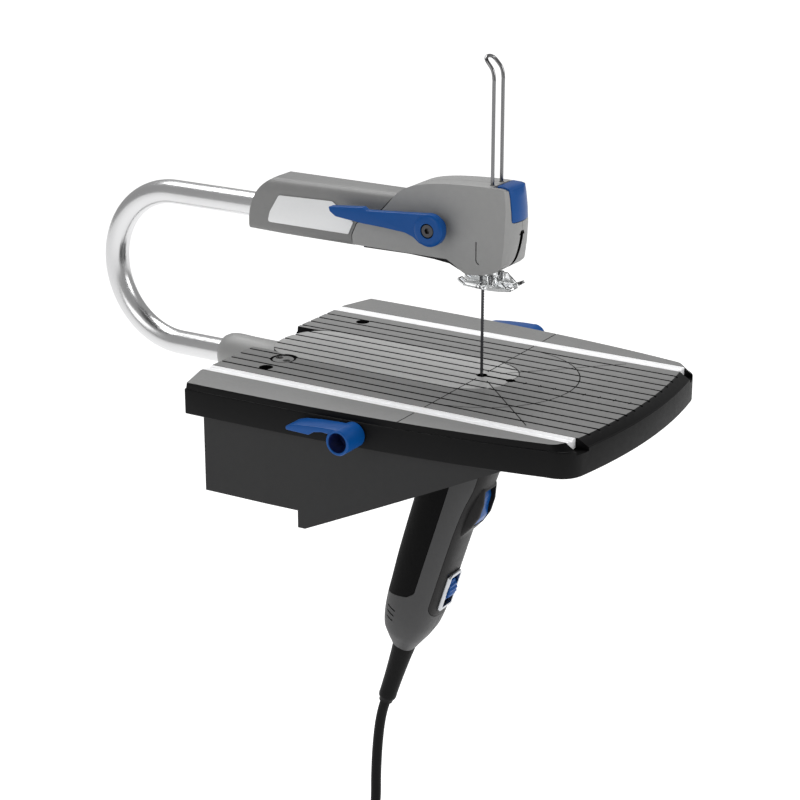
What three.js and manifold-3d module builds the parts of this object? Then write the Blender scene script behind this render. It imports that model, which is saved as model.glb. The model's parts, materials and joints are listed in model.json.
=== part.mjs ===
// Compact scroll saw: a bench-edge table with a drop-in saw unit (motor handle below, arm above).
//
// Everything is drawn in the blade frame, in millimetres: the origin is where the blade crosses
// the table top, +X is the operator's right, -Y is towards the operator and +Z is up. At the end
// the whole group is moved so that the row's origin is the centre of the flat bench seat under
// the base.
import * as THREE from 'three';
import { mergeVertices } from 'three/addons/utils/BufferGeometryUtils.js';
import Module from 'manifold-3d';

const wasm = await Module();
wasm.setup();

// ---------------------------------------------------------------- driving dimensions

const GAP = 0.3; // space left between pieces that touch

// Table: half-widths at the rear and at the front corners, and the edges along Y.
const TABLE_HALF_REAR = 106.5;
const TABLE_HALF_FRONT = 88;
const TABLE_REAR = 154.5;
const TABLE_FRONT = -107;
const TABLE_BULGE = 14; // how far the front edge's curve is drawn out past its corners
const TABLE_PLATE = 5;
const SKIRT_DEPTH = 20;
const SKIRT_WALL = 3.5;
const EDGE_STEP = 3.8; // height of the slightly smaller top edge
const FRONT_SLOPE = 7; // how far the front's sloping rim runs back to the flat top
const GROOVE_PITCH = 10;
const GROOVE_WIDTH = 1.9;
const GROOVE_DEPTH = 0.8;
const RAIL_X = 74.5;
const RAIL_WIDTH = 9.6;
const RAIL_DEPTH = 6;
const RAIL_FRONT = -99.5;
const RAIL_REAR = 152.5;
const CLAMP_HOLE = { x: 56, y: 122, radius: 4.4 };
const PLUG = { x: -36.5, y: 122.5, radius: 8 };

// Base housing that hangs over the edge of a bench.
const BASE_INSET = 8;
const BASE_WALL = 3;
const BASE_REAR = 146;
const SEAT_FRONT = 72; // rear face of the lip that hooks over the bench edge
const SEAT_Z = -71;
const LIP_Z = -82;
const LIP_WALL = 5;
const GUSSET_FRONT = -66.5;

// Platform: the saw unit's flat top, flush with the table.
const PLATFORM_HALF = 29;
const PLATFORM_REAR = 147;
const SLOT_REAR_HALF = 25.6; // half-width of the table's slot behind the platform
const PLATFORM_NOSE = -20;
const PLATFORM_DEPTH = 6;
const BLADE_HOLE = 3.4;
const NOSE_HOLE = 3;
const KERF = 2.6;

// Frame tube: a U of round tube that carries the arm.
const TUBE_RADIUS = 8;
const TUBE_BORE = 6.4;
const TUBE_LOW_Z = -16.9;
const TUBE_HIGH_Z = 86.2;
const TUBE_BEND_Y = 230.3;
const TUBE_LOW_END = 156;
const TUBE_HIGH_END = 112;

// Arm and head.
const ARM_HALF = 14;
const HEAD_HALF = 14.8;
const HEAD_TOP_HALF = 12.8;
const LEVER_AXIS = { y: 23, z: 94 };
const LEVER_HUB = 10;
const ROD = { x: 5.5, y: -8.5, radius: 1.1 };
const FOOT_Z = 57.4;

// Blade and its drive.
const STROKE = 8;
const BLADE_LENGTH = 101.6;
const BLADE_TOP = 79;
const UPPER_PIN_Z = 77;
const LOWER_PIN_Z = -20.5;

// Handle: its axis leans back below the table. The crank turns about X where the axis starts.
const LEAN = THREE.MathUtils.degToRad(17.9);
const CRANK = { y: 9, z: -52 };
const MODULE = 0.75;
const PINION_TEETH = 8;
const CROWN_TEETH = 40;
const CROWN_RADIUS = (MODULE * CROWN_TEETH) / 2;
const CRANK_THROW = STROKE / 2;

// Side lock levers.
const LOCK = { y: 27, z: -11.2, radius: 7.7, bore: 6, inner: 103.7, outer: 122 };

// Mains lead.
const CORD_RADIUS = 3.5;
const COIL_RADIUS = 40;
const COIL_SECTION = 10.6;
const COIL_CENTRE = { y: 78, z: -386 };

// ---------------------------------------------------------------- finishes

const finish = (color, roughness, metalness = 0) =>
  new THREE.MeshStandardMaterial({ color, roughness, metalness });
const blackPlastic = () => finish(0x2b2c2d, 0.5);
const castGrey = () => finish(0x5f6163, 0.55, 0.2);
const platformGrey = () => finish(0x8d9090, 0.5, 0.3);
const shellGrey = () => finish(0x747677, 0.5);
const armGrey = () => finish(0x5a5c5e, 0.5);
const handleGrey = () => finish(0x4a4b4c, 0.55);
const softRubber = () => finish(0x161616, 0.85);
const blue = () => finish(0x1658b0, 0.4);
const aluminium = () => finish(0xc9cbcd, 0.32, 0.9);
const steel = () => finish(0x9a9c9e, 0.35, 0.9);
const darkSteel = () => finish(0x34353a, 0.45, 0.8);
const brass = () => finish(0xb08d45, 0.35, 0.9);
const clearPlastic = () => finish(0xdfe6ea, 0.1);
const labelSilver = () => finish(0xc6c9cc, 0.35, 0.6);
const copper = () => finish(0xa65f32, 0.4, 0.8);
const boardGreen = () => finish(0x1f5a33, 0.6);

// ---------------------------------------------------------------- solids

const X = new THREE.Vector3(1, 0, 0);
const Y = new THREE.Vector3(0, 1, 0);
const Z = new THREE.Vector3(0, 0, 1);

/** Six times the volume that a list of triangles encloses; negative if its faces point inwards. */
function signedVolume(position, index) {
  const [a, b, c] = [new THREE.Vector3(), new THREE.Vector3(), new THREE.Vector3()];
  let sum = 0;
  for (let i = 0; i < index.length; i += 3) {
    a.fromBufferAttribute(position, index[i]);
    b.fromBufferAttribute(position, index[i + 1]);
    c.fromBufferAttribute(position, index[i + 2]);
    sum += a.dot(b.cross(c));
  }
  return sum;
}

/** A welded copy with positions only, no collapsed triangles, and every face pointing out. */
function welded(geometry) {
  const bare = geometry.clone();
  bare.deleteAttribute('normal');
  bare.deleteAttribute('uv');
  const merged = mergeVertices(bare, 1e-4);
  const index = merged.getIndex().array;
  const kept = [];
  for (let i = 0; i < index.length; i += 3) {
    const [a, b, c] = [index[i], index[i + 1], index[i + 2]];
    if (a !== b && b !== c && c !== a) kept.push(a, b, c);
  }
  if (signedVolume(merged.getAttribute('position'), kept) < 0) kept.reverse();
  merged.setIndex(kept);
  return merged;
}

function toSolid(geometry) {
  const mesh = welded(geometry);
  return new wasm.Manifold(new wasm.Mesh({
    numProp: 3,
    vertProperties: new Float32Array(mesh.getAttribute('position').array),
    triVerts: new Uint32Array(mesh.getIndex().array),
  }));
}

function toGeometry(solid) {
  const mesh = solid.getMesh();
  const geometry = new THREE.BufferGeometry();
  const positions = [];
  for (let i = 0; i < mesh.numVert; i += 1) {
    for (let k = 0; k < 3; k += 1) positions.push(mesh.vertProperties[i * mesh.numProp + k]);
  }
  geometry.setAttribute('position', new THREE.Float32BufferAttribute(positions, 3));
  geometry.setIndex(Array.from(mesh.triVerts));
  return geometry;
}

const cut = (body, ...tools) =>
  toGeometry(tools.reduce((left, tool) => left.subtract(toSolid(tool)), toSolid(body)));
const join = (body, ...others) =>
  toGeometry(others.reduce((sum, other) => sum.add(toSolid(other)), toSolid(body)));
const common = (body, ...others) =>
  toGeometry(others.reduce((rest, other) => rest.intersect(toSolid(other)), toSolid(body)));

/** A box between two corners. */
function box(x0, x1, y0, y1, z0, z1) {
  const geometry = new THREE.BoxGeometry(x1 - x0, y1 - y0, z1 - z0);
  return geometry.translate((x0 + x1) / 2, (y0 + y1) / 2, (z0 + z1) / 2);
}

/** A THREE.Shape through plain [a, b] points. */
const outline = (points) => new THREE.Shape(points.map(([a, b]) => new THREE.Vector2(a, b)));

function extruded(shape, depth, curveSegments = 8) {
  return new THREE.ExtrudeGeometry(shape, { depth, bevelEnabled: false, curveSegments });
}

/** An (x, y) outline raised from z0 to z1. */
const prismZ = (shape, z0, z1, curveSegments) =>
  extruded(shape, z1 - z0, curveSegments).translate(0, 0, z0);

/** A (y, z) outline drawn along X from x0 to x1. */
function prismX(shape, x0, x1, curveSegments) {
  const turn = new THREE.Matrix4().makeBasis(Y, Z, X);
  return extruded(shape, x1 - x0, curveSegments).applyMatrix4(turn).translate(x0, 0, 0);
}

/** An (x, z) outline drawn along Y from y0 to y1. */
function prismY(shape, y0, y1, curveSegments) {
  const turn = new THREE.Matrix4().makeBasis(X, Z, Y.clone().negate());
  return extruded(shape, y1 - y0, curveSegments).applyMatrix4(turn).translate(0, y1, 0);
}

/** A profile of [radius, height] points turned about Z. */
function turned(profile, sides = 20) {
  const points = profile.map(([r, z]) => new THREE.Vector2(r, z));
  return new THREE.LatheGeometry(points, sides).rotateX(Math.PI / 2);
}

/** A round bar along Z from z0 to z1. */
const bar = (radius, z0, z1, sides = 16) => turned([[0, z0], [radius, z0], [radius, z1], [0, z1]], sides);

/** A flat ring about Z. */
function ring(outer, inner, z0, z1, sides = 20) {
  return turned([[inner, z0], [outer, z0], [outer, z1], [inner, z1], [inner, z0]], sides);
}

/** Turns a piece drawn about Z so that it lies about X. */
const alongX = (geometry) => geometry.rotateY(Math.PI / 2);

/** A round bar along X at a given (y, z). */
const barX = (radius, x0, x1, y, z, sides = 16) =>
  alongX(bar(radius, x0, x1, sides)).translate(0, y, z);

/** A closed skin through rings of points, all with the same count and the same turning sense. */
function loft(rings) {
  const count = rings[0].length;
  const positions = [];
  for (const points of rings) for (const p of points) positions.push(p.x, p.y, p.z);
  const index = [];
  for (let r = 0; r + 1 < rings.length; r += 1) {
    for (let i = 0; i < count; i += 1) {
      const a = r * count + i;
      const b = r * count + ((i + 1) % count);
      index.push(a, b, b + count, a, b + count, a + count);
    }
  }
  const last = (rings.length - 1) * count;
  for (let i = 1; i + 1 < count; i += 1) {
    index.push(0, i + 1, i);
    index.push(last, last + i, last + i + 1);
  }
  const geometry = new THREE.BufferGeometry();
  geometry.setAttribute('position', new THREE.Float32BufferAttribute(positions, 3));
  geometry.setIndex(index);
  return geometry;
}

/** A round bar swept along a curve, with an even number of sides. */
function swept(curve, radius, steps, sides) {
  const section = new THREE.Shape();
  section.absarc(0, 0, radius, 0, Math.PI * 2);
  return new THREE.ExtrudeGeometry(section, { steps, extrudePath: curve, curveSegments: sides / 2 });
}

const saw = new THREE.Group();
const handle = new THREE.Group(); // z along the handle's axis, y to its rear face
handle.position.set(0, CRANK.y, CRANK.z);
handle.rotation.x = LEAN;
saw.add(handle);

function addPiece(group, name, geometry, material) {
  const mesh = new THREE.Mesh(welded(geometry), material);
  mesh.name = name;
  group.add(mesh);
}
const add = (name, geometry, material) => addPiece(saw, name, geometry, material);
const addToHandle = (name, geometry, material) => addPiece(handle, name, geometry, material);

/** Carries a geometry drawn in the saw's frame into the handle's frame. */
const intoHandle = (geometry) => geometry.translate(0, -CRANK.y, -CRANK.z).rotateX(-LEAN);

// ---------------------------------------------------------------- table and base

/** The table seen from above: gently curved sides, rounded front corners, a bowed front edge. */
function tableOutline(inset = 0, frontInset = inset) {
  const rear = TABLE_REAR - inset;
  const halfRear = TABLE_HALF_REAR - inset;
  const halfFront = TABLE_HALF_FRONT - inset;
  const front = TABLE_FRONT + frontInset;
  const cornerX = TABLE_HALF_FRONT - 13 - inset * 0.5;
  const shape = new THREE.Shape();
  shape.moveTo(-82, rear);
  shape.lineTo(82, rear);
  shape.lineTo(halfRear, rear - 7);
  shape.quadraticCurveTo(halfRear, 2, halfFront, -90);
  shape.quadraticCurveTo(halfFront - 0.5, front + 3, cornerX, front);
  shape.quadraticCurveTo(0, front - TABLE_BULGE, -cornerX, front);
  shape.quadraticCurveTo(0.5 - halfFront, front + 3, -halfFront, -90);
  shape.quadraticCurveTo(-halfRear, 2, -halfRear, rear - 7);
  shape.closePath();
  return shape;
}

/** The nose end of the platform, or of the table's slot round it when grown by a little. */
function addNose(shape, grow) {
  const half = PLATFORM_HALF + grow;
  const nose = PLATFORM_NOSE - grow;
  shape.lineTo(half, 4);
  shape.quadraticCurveTo(half - 4, nose + 5, 10, nose);
  shape.lineTo(-10, nose);
  shape.quadraticCurveTo(-half + 4, nose + 5, -half, 4);
}

/** The platform ends at the rear in a flat arch. */
function platformOutline() {
  const half = PLATFORM_HALF;
  const rear = PLATFORM_REAR;
  const shape = new THREE.Shape();
  shape.moveTo(0, rear);
  shape.bezierCurveTo(half - 12, rear - 0.5, half, rear - 9, half, rear - 26);
  addNose(shape, 0);
  shape.lineTo(-half, rear - 26);
  shape.bezierCurveTo(-half, rear - 9, 12 - half, rear - 0.5, 0, rear);
  return shape;
}

/** The slot narrows behind the platform. */
function slotOutline() {
  const half = PLATFORM_HALF + 0.5;
  const narrow = SLOT_REAR_HALF;
  const shape = new THREE.Shape();
  shape.moveTo(-narrow, 170);
  shape.lineTo(narrow, 170);
  shape.lineTo(narrow, PLATFORM_REAR - 4);
  shape.quadraticCurveTo(narrow, PLATFORM_REAR - 14, half, PLATFORM_REAR - 20);
  addNose(shape, 0.5);
  shape.lineTo(-half, PLATFORM_REAR - 20);
  shape.quadraticCurveTo(-narrow, PLATFORM_REAR - 14, -narrow, PLATFORM_REAR - 4);
  shape.closePath();
  return shape;
}

const grooveAt = (x, y0, y1) =>
  box(x - GROOVE_WIDTH / 2, x + GROOVE_WIDTH / 2, y0, y1, -GROOVE_DEPTH, 1);

/** Keyhole under the blade: a round clearance hole, a kerf and a nose hole. */
const bladeKeyhole = () => join(
  bar(BLADE_HOLE, -9, 1, 12),
  box(-KERF / 2, KERF / 2, PLATFORM_NOSE, 0, -9, 1),
  bar(NOSE_HOLE, -9, 1, 12).translate(0, PLATFORM_NOSE, 0),
);

function tableTop() {
  const pocket = cut(
    prismZ(tableOutline(SKIRT_WALL), -SKIRT_DEPTH - 1, -TABLE_PLATE, 6),
    ...[-1, 1].map((side) => box(side * RAIL_X - 8, side * RAIL_X + 8, -130, 170, -9.5, 0)),
  );
  const level = (inset, frontInset, z) => tableOutline(inset, frontInset).getPoints(7).slice(0, -1)
    .map((p) => new THREE.Vector3(p.x, p.y, z));
  const body = join(
    prismZ(tableOutline(), -SKIRT_DEPTH, -EDGE_STEP, 7),
    loft([level(0.8, 0.8, -EDGE_STEP - 0.5), level(0.8, 0.8, -EDGE_STEP), level(1.2, FRONT_SLOPE, 0)]),
  );
  const half = RAIL_WIDTH / 2 + GAP;
  const tools = [pocket, prismZ(slotOutline(), -SKIRT_DEPTH - 1, 1, 6), bladeKeyhole()];
  for (const side of [-1, 1]) {
    tools.push(box(side * RAIL_X - half, side * RAIL_X + half, -130, 170, -RAIL_DEPTH - GAP, 1));
    tools.push(bar(CLAMP_HOLE.radius, -9, 1, 14).translate(side * CLAMP_HOLE.x, CLAMP_HOLE.y, 0));
    tools.push(barX(3.9, side * 104 - 8, side * 104 + 8, LOCK.y, LOCK.z, 12));
    for (const n of [3, 4, 5, 6]) tools.push(grooveAt(side * n * GROOVE_PITCH, -112, TABLE_REAR + 1));
  }
  for (const n of [-2, -1, 0, 1, 2]) {
    tools.push(grooveAt(n * GROOVE_PITCH, -112, PLATFORM_NOSE + 4));
  }
  tools.push(bar(PLUG.radius + GAP, -3.3, 1, 16).translate(PLUG.x, PLUG.y, 0));
  return cut(body, ...tools);
}

function baseHousing() {
  const side = outline([
    [BASE_REAR, -SKIRT_DEPTH - GAP], [BASE_REAR, SEAT_Z], [SEAT_FRONT, SEAT_Z], [SEAT_FRONT, LIP_Z],
    [SEAT_FRONT - LIP_WALL, LIP_Z], [GUSSET_FRONT, -SKIRT_DEPTH - GAP],
  ]);
  const plan = (inset) => prismZ(tableOutline(inset), LIP_Z - 5, 0, 6);
  const shell = common(plan(BASE_INSET), prismX(side, -120, 120));
  const inner = plan(BASE_INSET + BASE_WALL);
  const rearChamber = common(inner, box(-120, 120, SEAT_FRONT + BASE_WALL,
    BASE_REAR - BASE_WALL, SEAT_Z + BASE_WALL, 1));
  const openFront = common(inner, box(-120, 120, -120, SEAT_FRONT - LIP_WALL, LIP_Z - 1, 1));
  const tubeNotch = box(-21, 21, BASE_REAR - 6, BASE_REAR + 6, -36, 1);
  return cut(shell, rearChamber, openFront, tubeNotch);
}

/** A bright fence rail with a shallow channel along its middle. */
function fenceRail(side) {
  const half = RAIL_WIDTH / 2;
  const section = outline([
    [-half, -RAIL_DEPTH], [half, -RAIL_DEPTH], [half, 0], [1.8, 0], [1.2, -0.8], [-1.2, -0.8],
    [-1.8, 0], [-half, 0],
  ]);
  return prismY(section, RAIL_FRONT, RAIL_REAR).translate(side * RAIL_X, 0, 0);
}

/** Round plug in the table beside the platform, with a finger slot. */
const tablePlug = () => cut(
  bar(PLUG.radius, -3, -0.2, 16), box(-4.5, 4.5, -0.7, 0.7, -1.2, 1),
).translate(PLUG.x, PLUG.y, 0);

/** Lever that draws the saw unit tight to the base: a hollow barrel with a flat arm to the rear. */
function lockLever() {
  const length = LOCK.outer - LOCK.inner;
  const barrel = alongX(turned([
    [3.9, 0], [LOCK.radius, 0], [LOCK.radius, length], [LOCK.bore, length], [LOCK.bore, 6],
    [3.9, 6], [3.9, 0],
  ], 20));
  const arm = prismX(outline([
    [0, 7.7], [8, 7.6], [20, 6.9], [30, 5.8], [36, 3.9], [36, 1.6], [20, 1.2], [17, 3.4], [11, 4.6],
    [7, 4.2], [4, 5.2], [0, 6.7],
  ]), 4, length - 0.5);
  return join(barrel, arm);
}

/** Spindle through the skirt, with the cam that pulls the saw unit down. */
const lockPin = () => join(
  alongX(bar(3.5, -15, 5.4, 12)),
  box(-15, -11, -2.8, 2.8, -8.2, 0),
);

function buildTable() {
  add('table_top', tableTop(), castGrey());
  add('base_housing', baseHousing(), blackPlastic());
  add('table_plug', tablePlug(), castGrey());
  for (const [name, side] of [['left', -1], ['right', 1]]) {
    add(`${name}_fence_rail`, fenceRail(side), aluminium());
    const placed = (geometry) => geometry.translate(LOCK.inner, LOCK.y, LOCK.z).scale(side, 1, 1);
    add(`${name}_lock_lever`, placed(lockLever()), blue());
    add(`${name}_lock_pin`, placed(lockPin()), steel());
  }
}

// ---------------------------------------------------------------- saw frame

function platform() {
  const plate = prismZ(platformOutline(), -PLATFORM_DEPTH, 0, 6);
  const grooves = [-2, -1, 0, 1, 2].map((n) => grooveAt(
    n * GROOVE_PITCH, PLATFORM_NOSE - 2, PLATFORM_REAR + 2,
  ));
  const plugSeat = bar(PLUG.radius + 1.6, -9, 1, 16).translate(PLUG.x, PLUG.y, 0);
  return cut(plate, bladeKeyhole(), plugSeat, ...grooves);
}

/** One rounded section of the tube socket, in the plane at y. */
function socketRing(y, halfWidth, low, high, squareness) {
  const points = [];
  const count = 20;
  for (let i = 0; i < count; i += 1) {
    const angle = (i / count) * Math.PI * 2;
    const reach = (value) => Math.sign(value) * Math.abs(value) ** (2 / squareness);
    points.push(new THREE.Vector3(
      halfWidth * reach(Math.cos(angle)),
      y,
      (low + high) / 2 + ((high - low) / 2) * reach(Math.sin(angle)),
    ));
  }
  return points;
}

/** Casting that blends from the flat platform into a round socket for the frame tube. */
function tubeSocket() {
  const body = loft([
    socketRing(118, 19, -19.5, -PLATFORM_DEPTH - GAP, 5),
    socketRing(PLATFORM_REAR + GAP, 19, -19.5, -PLATFORM_DEPTH - GAP, 5),
    socketRing(PLATFORM_REAR + 2.5, 15.5, -26, -5.2, 3),
    socketRing(PLATFORM_REAR + 7, 14, -29.6, -4.4, 2.2),
    socketRing(172, 13.4, -30.4, -3.9, 2),
    socketRing(184, 13.4, -30.3, -3.5, 2),
    socketRing(189.5, 12.8, -29.7, -4.1, 2),
    socketRing(192.5, 11.4, -28.3, -5.5, 2),
  ]);
  const bore = alongYBar(TUBE_RADIUS + GAP, TUBE_LOW_END - 1, 210, TUBE_LOW_Z, 16);
  return cut(body, bore);
}

/** A round bar along Y at x = 0. */
const alongYBar = (radius, y0, y1, z, sides) =>
  bar(radius, -y1, -y0, sides).rotateX(Math.PI / 2).translate(0, 0, z);

/** Straight lower run, half-round bend at the rear, straight upper run; grown at both ends. */
function tubeForm(radius, extra = 0) {
  const bendRadius = (TUBE_HIGH_Z - TUBE_LOW_Z) / 2;
  const middle = (TUBE_HIGH_Z + TUBE_LOW_Z) / 2;
  const station = (y, z, turn) => {
    const points = [];
    for (let i = 0; i < 12; i += 1) {
      const angle = (i / 12) * Math.PI * 2;
      const out = radius * Math.sin(angle);
      points.push(new THREE.Vector3(
        radius * Math.cos(angle), y + out * Math.cos(turn), z + out * Math.sin(turn),
      ));
    }
    return points;
  };
  const rings = [station(TUBE_LOW_END - extra, TUBE_LOW_Z, -Math.PI / 2)];
  const steps = 14;
  for (let i = 0; i <= steps; i += 1) {
    const turn = -Math.PI / 2 + (i / steps) * Math.PI;
    rings.push(station(
      TUBE_BEND_Y + bendRadius * Math.cos(turn), middle + bendRadius * Math.sin(turn), turn,
    ));
  }
  rings.push(station(TUBE_HIGH_END - extra, TUBE_HIGH_Z, Math.PI / 2));
  return loft(rings);
}

const frameTube = () => cut(tubeForm(TUBE_RADIUS), tubeForm(TUBE_BORE, 2));

/** Side view of the seam between the head and the arm sleeve, from top to bottom. */
const SEAM = [[54.8, 108.6], [63, 99.3], [81.4, 88.1], [84.8, 80.6], [84.5, 74]];

function armSleeve() {
  const side = new THREE.Shape();
  side.moveTo(SEAM[0][0] + 0.4, SEAM[0][1] + 1);
  for (const [y, z] of SEAM) side.lineTo(y + 0.4, z);
  side.lineTo(SEAM[4][0] + 0.4, 72);
  side.lineTo(162.5, 74.5);
  side.lineTo(162.3, 82);
  side.quadraticCurveTo(160.5, 101, 143, 109.5);
  side.closePath();
  const section = outline([
    [-ARM_HALF, 78], [-ARM_HALF + 4, 73], [ARM_HALF - 4, 73], [ARM_HALF, 78],
    [ARM_HALF, 101], [ARM_HALF - 6, 109], [-ARM_HALF + 6, 109], [-ARM_HALF, 101],
  ]);
  const bore = alongYBar(TUBE_RADIUS + GAP, TUBE_HIGH_END - 2, 190, TUBE_HIGH_Z, 16);
  return cut(common(prismX(side, -20, 20, 6), prismY(section, 50, 175)), bore);
}

function labelPlate() {
  const side = outline([
    [147.6, 80.5], [145.7, 87.4], [138.7, 98.6], [98.8, 99.8], [83.4, 88.6], [87.2, 80.5],
  ]);
  return prismX(side, -ARM_HALF - 1.1, -ARM_HALF - GAP);
}

function buildFrame() {
  add('platform', platform(), platformGrey());
  add('tube_socket', tubeSocket(), platformGrey());
  add('frame_tube', frameTube(), aluminium());
  add('arm_sleeve', armSleeve(), armGrey());
  add('label_plate', labelPlate(), labelSilver());
}

// ---------------------------------------------------------------- head

/** Side view of the head from the seam over the top, down the nose and back along the bottom. */
function headOutline() {
  const shape = new THREE.Shape();
  shape.moveTo(54.4, 108.6);
  shape.bezierCurveTo(49, 114.8, 40, 117.8, 24, 119.6);
  shape.quadraticCurveTo(4, 121.6, -17, 121.2);
  shape.quadraticCurveTo(-24, 121, -25.2, 114.5);
  shape.quadraticCurveTo(-27.2, 103, -25.8, 92.5);
  shape.quadraticCurveTo(-24.8, 85, -22.6, 79);
  shape.quadraticCurveTo(-19.6, 71.2, -13, 69.6);
  shape.quadraticCurveTo(-4, 67.2, 3.4, 66.9);
  shape.quadraticCurveTo(8, 69, 12, 71.8);
  shape.lineTo(17, 74.6);
  shape.lineTo(SEAM[4][0] - 0.4, 74.6);
  for (const [y, z] of SEAM.slice(1, 4).reverse()) shape.lineTo(y - 0.4, z);
  shape.closePath();
  return shape;
}

/** Plan of the nose, which bulges forward between the head's sides. */
function crowned(geometry, forward = 0) {
  const shape = new THREE.Shape();
  shape.moveTo(HEAD_HALF + 1, 95);
  shape.lineTo(-HEAD_HALF - 1, 95);
  shape.lineTo(-HEAD_HALF - 1, -20.3 - forward);
  shape.quadraticCurveTo(0, -30.6 - forward, HEAD_HALF + 1, -20.3 - forward);
  shape.closePath();
  return common(geometry, prismZ(shape, 50, 140, 8));
}

/** One half of the head's clam shell, hollow round the blade carriage. */
function headShell(side) {
  const x0 = side < 0 ? -HEAD_HALF : GAP / 2;
  const x1 = side < 0 ? -GAP / 2 : HEAD_HALF;
  const draft = prismY(outline([
    [-HEAD_HALF - 1, 55], [HEAD_HALF + 1, 55], [HEAD_HALF + 1, 84], [HEAD_TOP_HALF, 122],
    [-HEAD_TOP_HALF, 122], [-HEAD_HALF - 1, 84],
  ]), -40, 120);
  const body = common(crowned(prismX(headOutline(), x0, x1, 6)), draft);
  const cavity = box(-9.2, 9.2, -14, 36, 60, 112);
  const bladeSlot = box(-1.8, 1.8, -40, 0, 60, 94);
  const buttonSeat = box(-10, 10, -40, -11, 100.6, 130);
  const underSeat = prismX(underOutline(GAP), -12.3, 12.3);
  const rodHole = bar(ROD.radius + GAP, 60, 130, 10).translate(side * ROD.x, ROD.y, 0);
  const shaftHole = barX(3.4, -20, 11.6, LEVER_AXIS.y, LEVER_AXIS.z, 14);
  const tools = [cavity, bladeSlot, buttonSeat, underSeat, rodHole, shaftHole];
  if (side > 0) tools.push(barX(2.5, 11, 20, HEAD_SCREW.y, HEAD_SCREW.z, 12));
  return cut(body, ...tools);
}

const HEAD_SCREW = { y: 50, z: 96 };

/** Pan-head screw sunk in a shell's outer face, with a cross recess. */
const sunkScrew = () => cut(
  turned([[0, 0], [1.3, 0], [1.3, 1], [2.2, 1], [2.2, 2.4], [1.5, 3], [0, 3]], 12),
  box(-1.3, 1.3, -0.3, 0.3, 2, 4),
  box(-0.3, 0.3, -1.3, 1.3, 2, 4),
);

/** A flat hub on a narrower boss, with an arm that lies back along the sleeve. */
function tensionLever() {
  const hub = alongX(turned([
    [4.6, 0], [LEVER_HUB - 1.4, 0], [LEVER_HUB, 1.6], [LEVER_HUB, 6], [6.6, 6], [6.6, 11.6],
    [3.4, 11.6], [3.4, 3.4], [4.6, 3.4], [4.6, 0],
  ], 24)).translate(-28.2, LEVER_AXIS.y, LEVER_AXIS.z);
  const arm = prismX(outline([
    [24, 103.9], [40, 102.6], [58, 101.2], [66.5, 100.7], [69, 102.3], [93.5, 99.9], [92.6, 97],
    [88.5, 94.3], [70, 92.5], [55, 91.9], [39, 90.8], [33.5, 88.9], [29, 85.6], [24, 84.2],
  ]), -27.4, -22.4);
  const spindle = barX(LEVER_HUB - 2, -30, -10, LEVER_AXIS.y, LEVER_AXIS.z, 20);
  return join(hub, cut(arm, spindle));
}

/** Eccentric shaft that lifts the upper blade holder when the lever is thrown. */
const camShaft = () => alongX(join(
  bar(3, -24.6, 11, 12),
  bar(5, -5, 5, 16).translate(1.6, 0, 0),
)).translate(0, LEVER_AXIS.y, LEVER_AXIS.z);

const leverScrew = () => alongX(cut(
  turned([[0, 0], [4.2, 0], [4.2, 2.2], [3.2, 3], [0, 3]], 14),
  bar(1.7, -0.4, 1.6, 6),
)).translate(-28.2 + 0.2, LEVER_AXIS.y, LEVER_AXIS.z);

/** Wrap-over button at the front of the head. */
function releaseButton() {
  const side = new THREE.Shape();
  side.moveTo(-32, 101.2);
  side.lineTo(-25.8, 112);
  side.quadraticCurveTo(-25.6, 121.2, -19.6, 121.9);
  side.lineTo(-14.2, 122.2);
  side.lineTo(-14.2, 101.2);
  side.closePath();
  return crowned(prismX(side, -9.6, 9.6, 5), 0.4);
}

/** Side view of the black cover under the arm, grown by a little for its seat. */
function underOutline(grow = 0) {
  return outline([
    [6 - grow, 66.7 - grow], [11, 68.6 - grow], [17, 71.2 - grow], [28, 72.4 - grow],
    [45, 73.2 - grow], [78 + grow, 72.8 - grow], [78 + grow, 76 + grow], [16, 76 + grow],
    [6 - grow, 71 + grow],
  ]);
}

/** Clear presser foot: a forked sole with raised ends, two ribs and a boss for its two rods. */
function holdDownFoot() {
  const sole = new THREE.Shape();
  sole.moveTo(-7, 10);
  sole.lineTo(7, 10);
  sole.lineTo(9, -4);
  sole.quadraticCurveTo(9.5, -16, 5, -21);
  sole.lineTo(-5, -21);
  sole.quadraticCurveTo(-9.5, -16, -9, -4);
  sole.closePath();
  const rib = outline([
    [9, FOOT_Z + 1], [9, FOOT_Z + 2.6], [1.5, FOOT_Z + 8.2], [-13, FOOT_Z + 8.2],
    [-19, FOOT_Z + 3], [-19, FOOT_Z + 1],
  ]);
  const body = join(
    prismZ(sole, FOOT_Z, FOOT_Z + 2, 5),
    box(-8, 8, -12.4, -4.6, FOOT_Z + 1, FOOT_Z + 8.6),
    ...[-1, 1].map((side) => prismX(rib, side * 6.6 - 0.6, side * 6.6 + 0.6)),
    prismX(outline([
      [-20, FOOT_Z + 0.4], [-26.4, FOOT_Z + 4.4], [-25.6, FOOT_Z + 6], [-17, FOOT_Z + 1.8],
    ]), -4, 4),
    prismX(outline([
      [9, FOOT_Z], [13.8, FOOT_Z + 2.6], [13.8, FOOT_Z + 4.2], [9, FOOT_Z + 2],
    ]), -7, 7),
  );
  const rods = [-1, 1].map((side) => bar(ROD.radius + GAP, FOOT_Z + 2.4, 70, 10)
    .translate(side * ROD.x, ROD.y, 0));
  return cut(body, box(-1.6, 1.6, -3.4, 20, 50, 70), bar(3, 50, 70, 12), ...rods);
}

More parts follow.
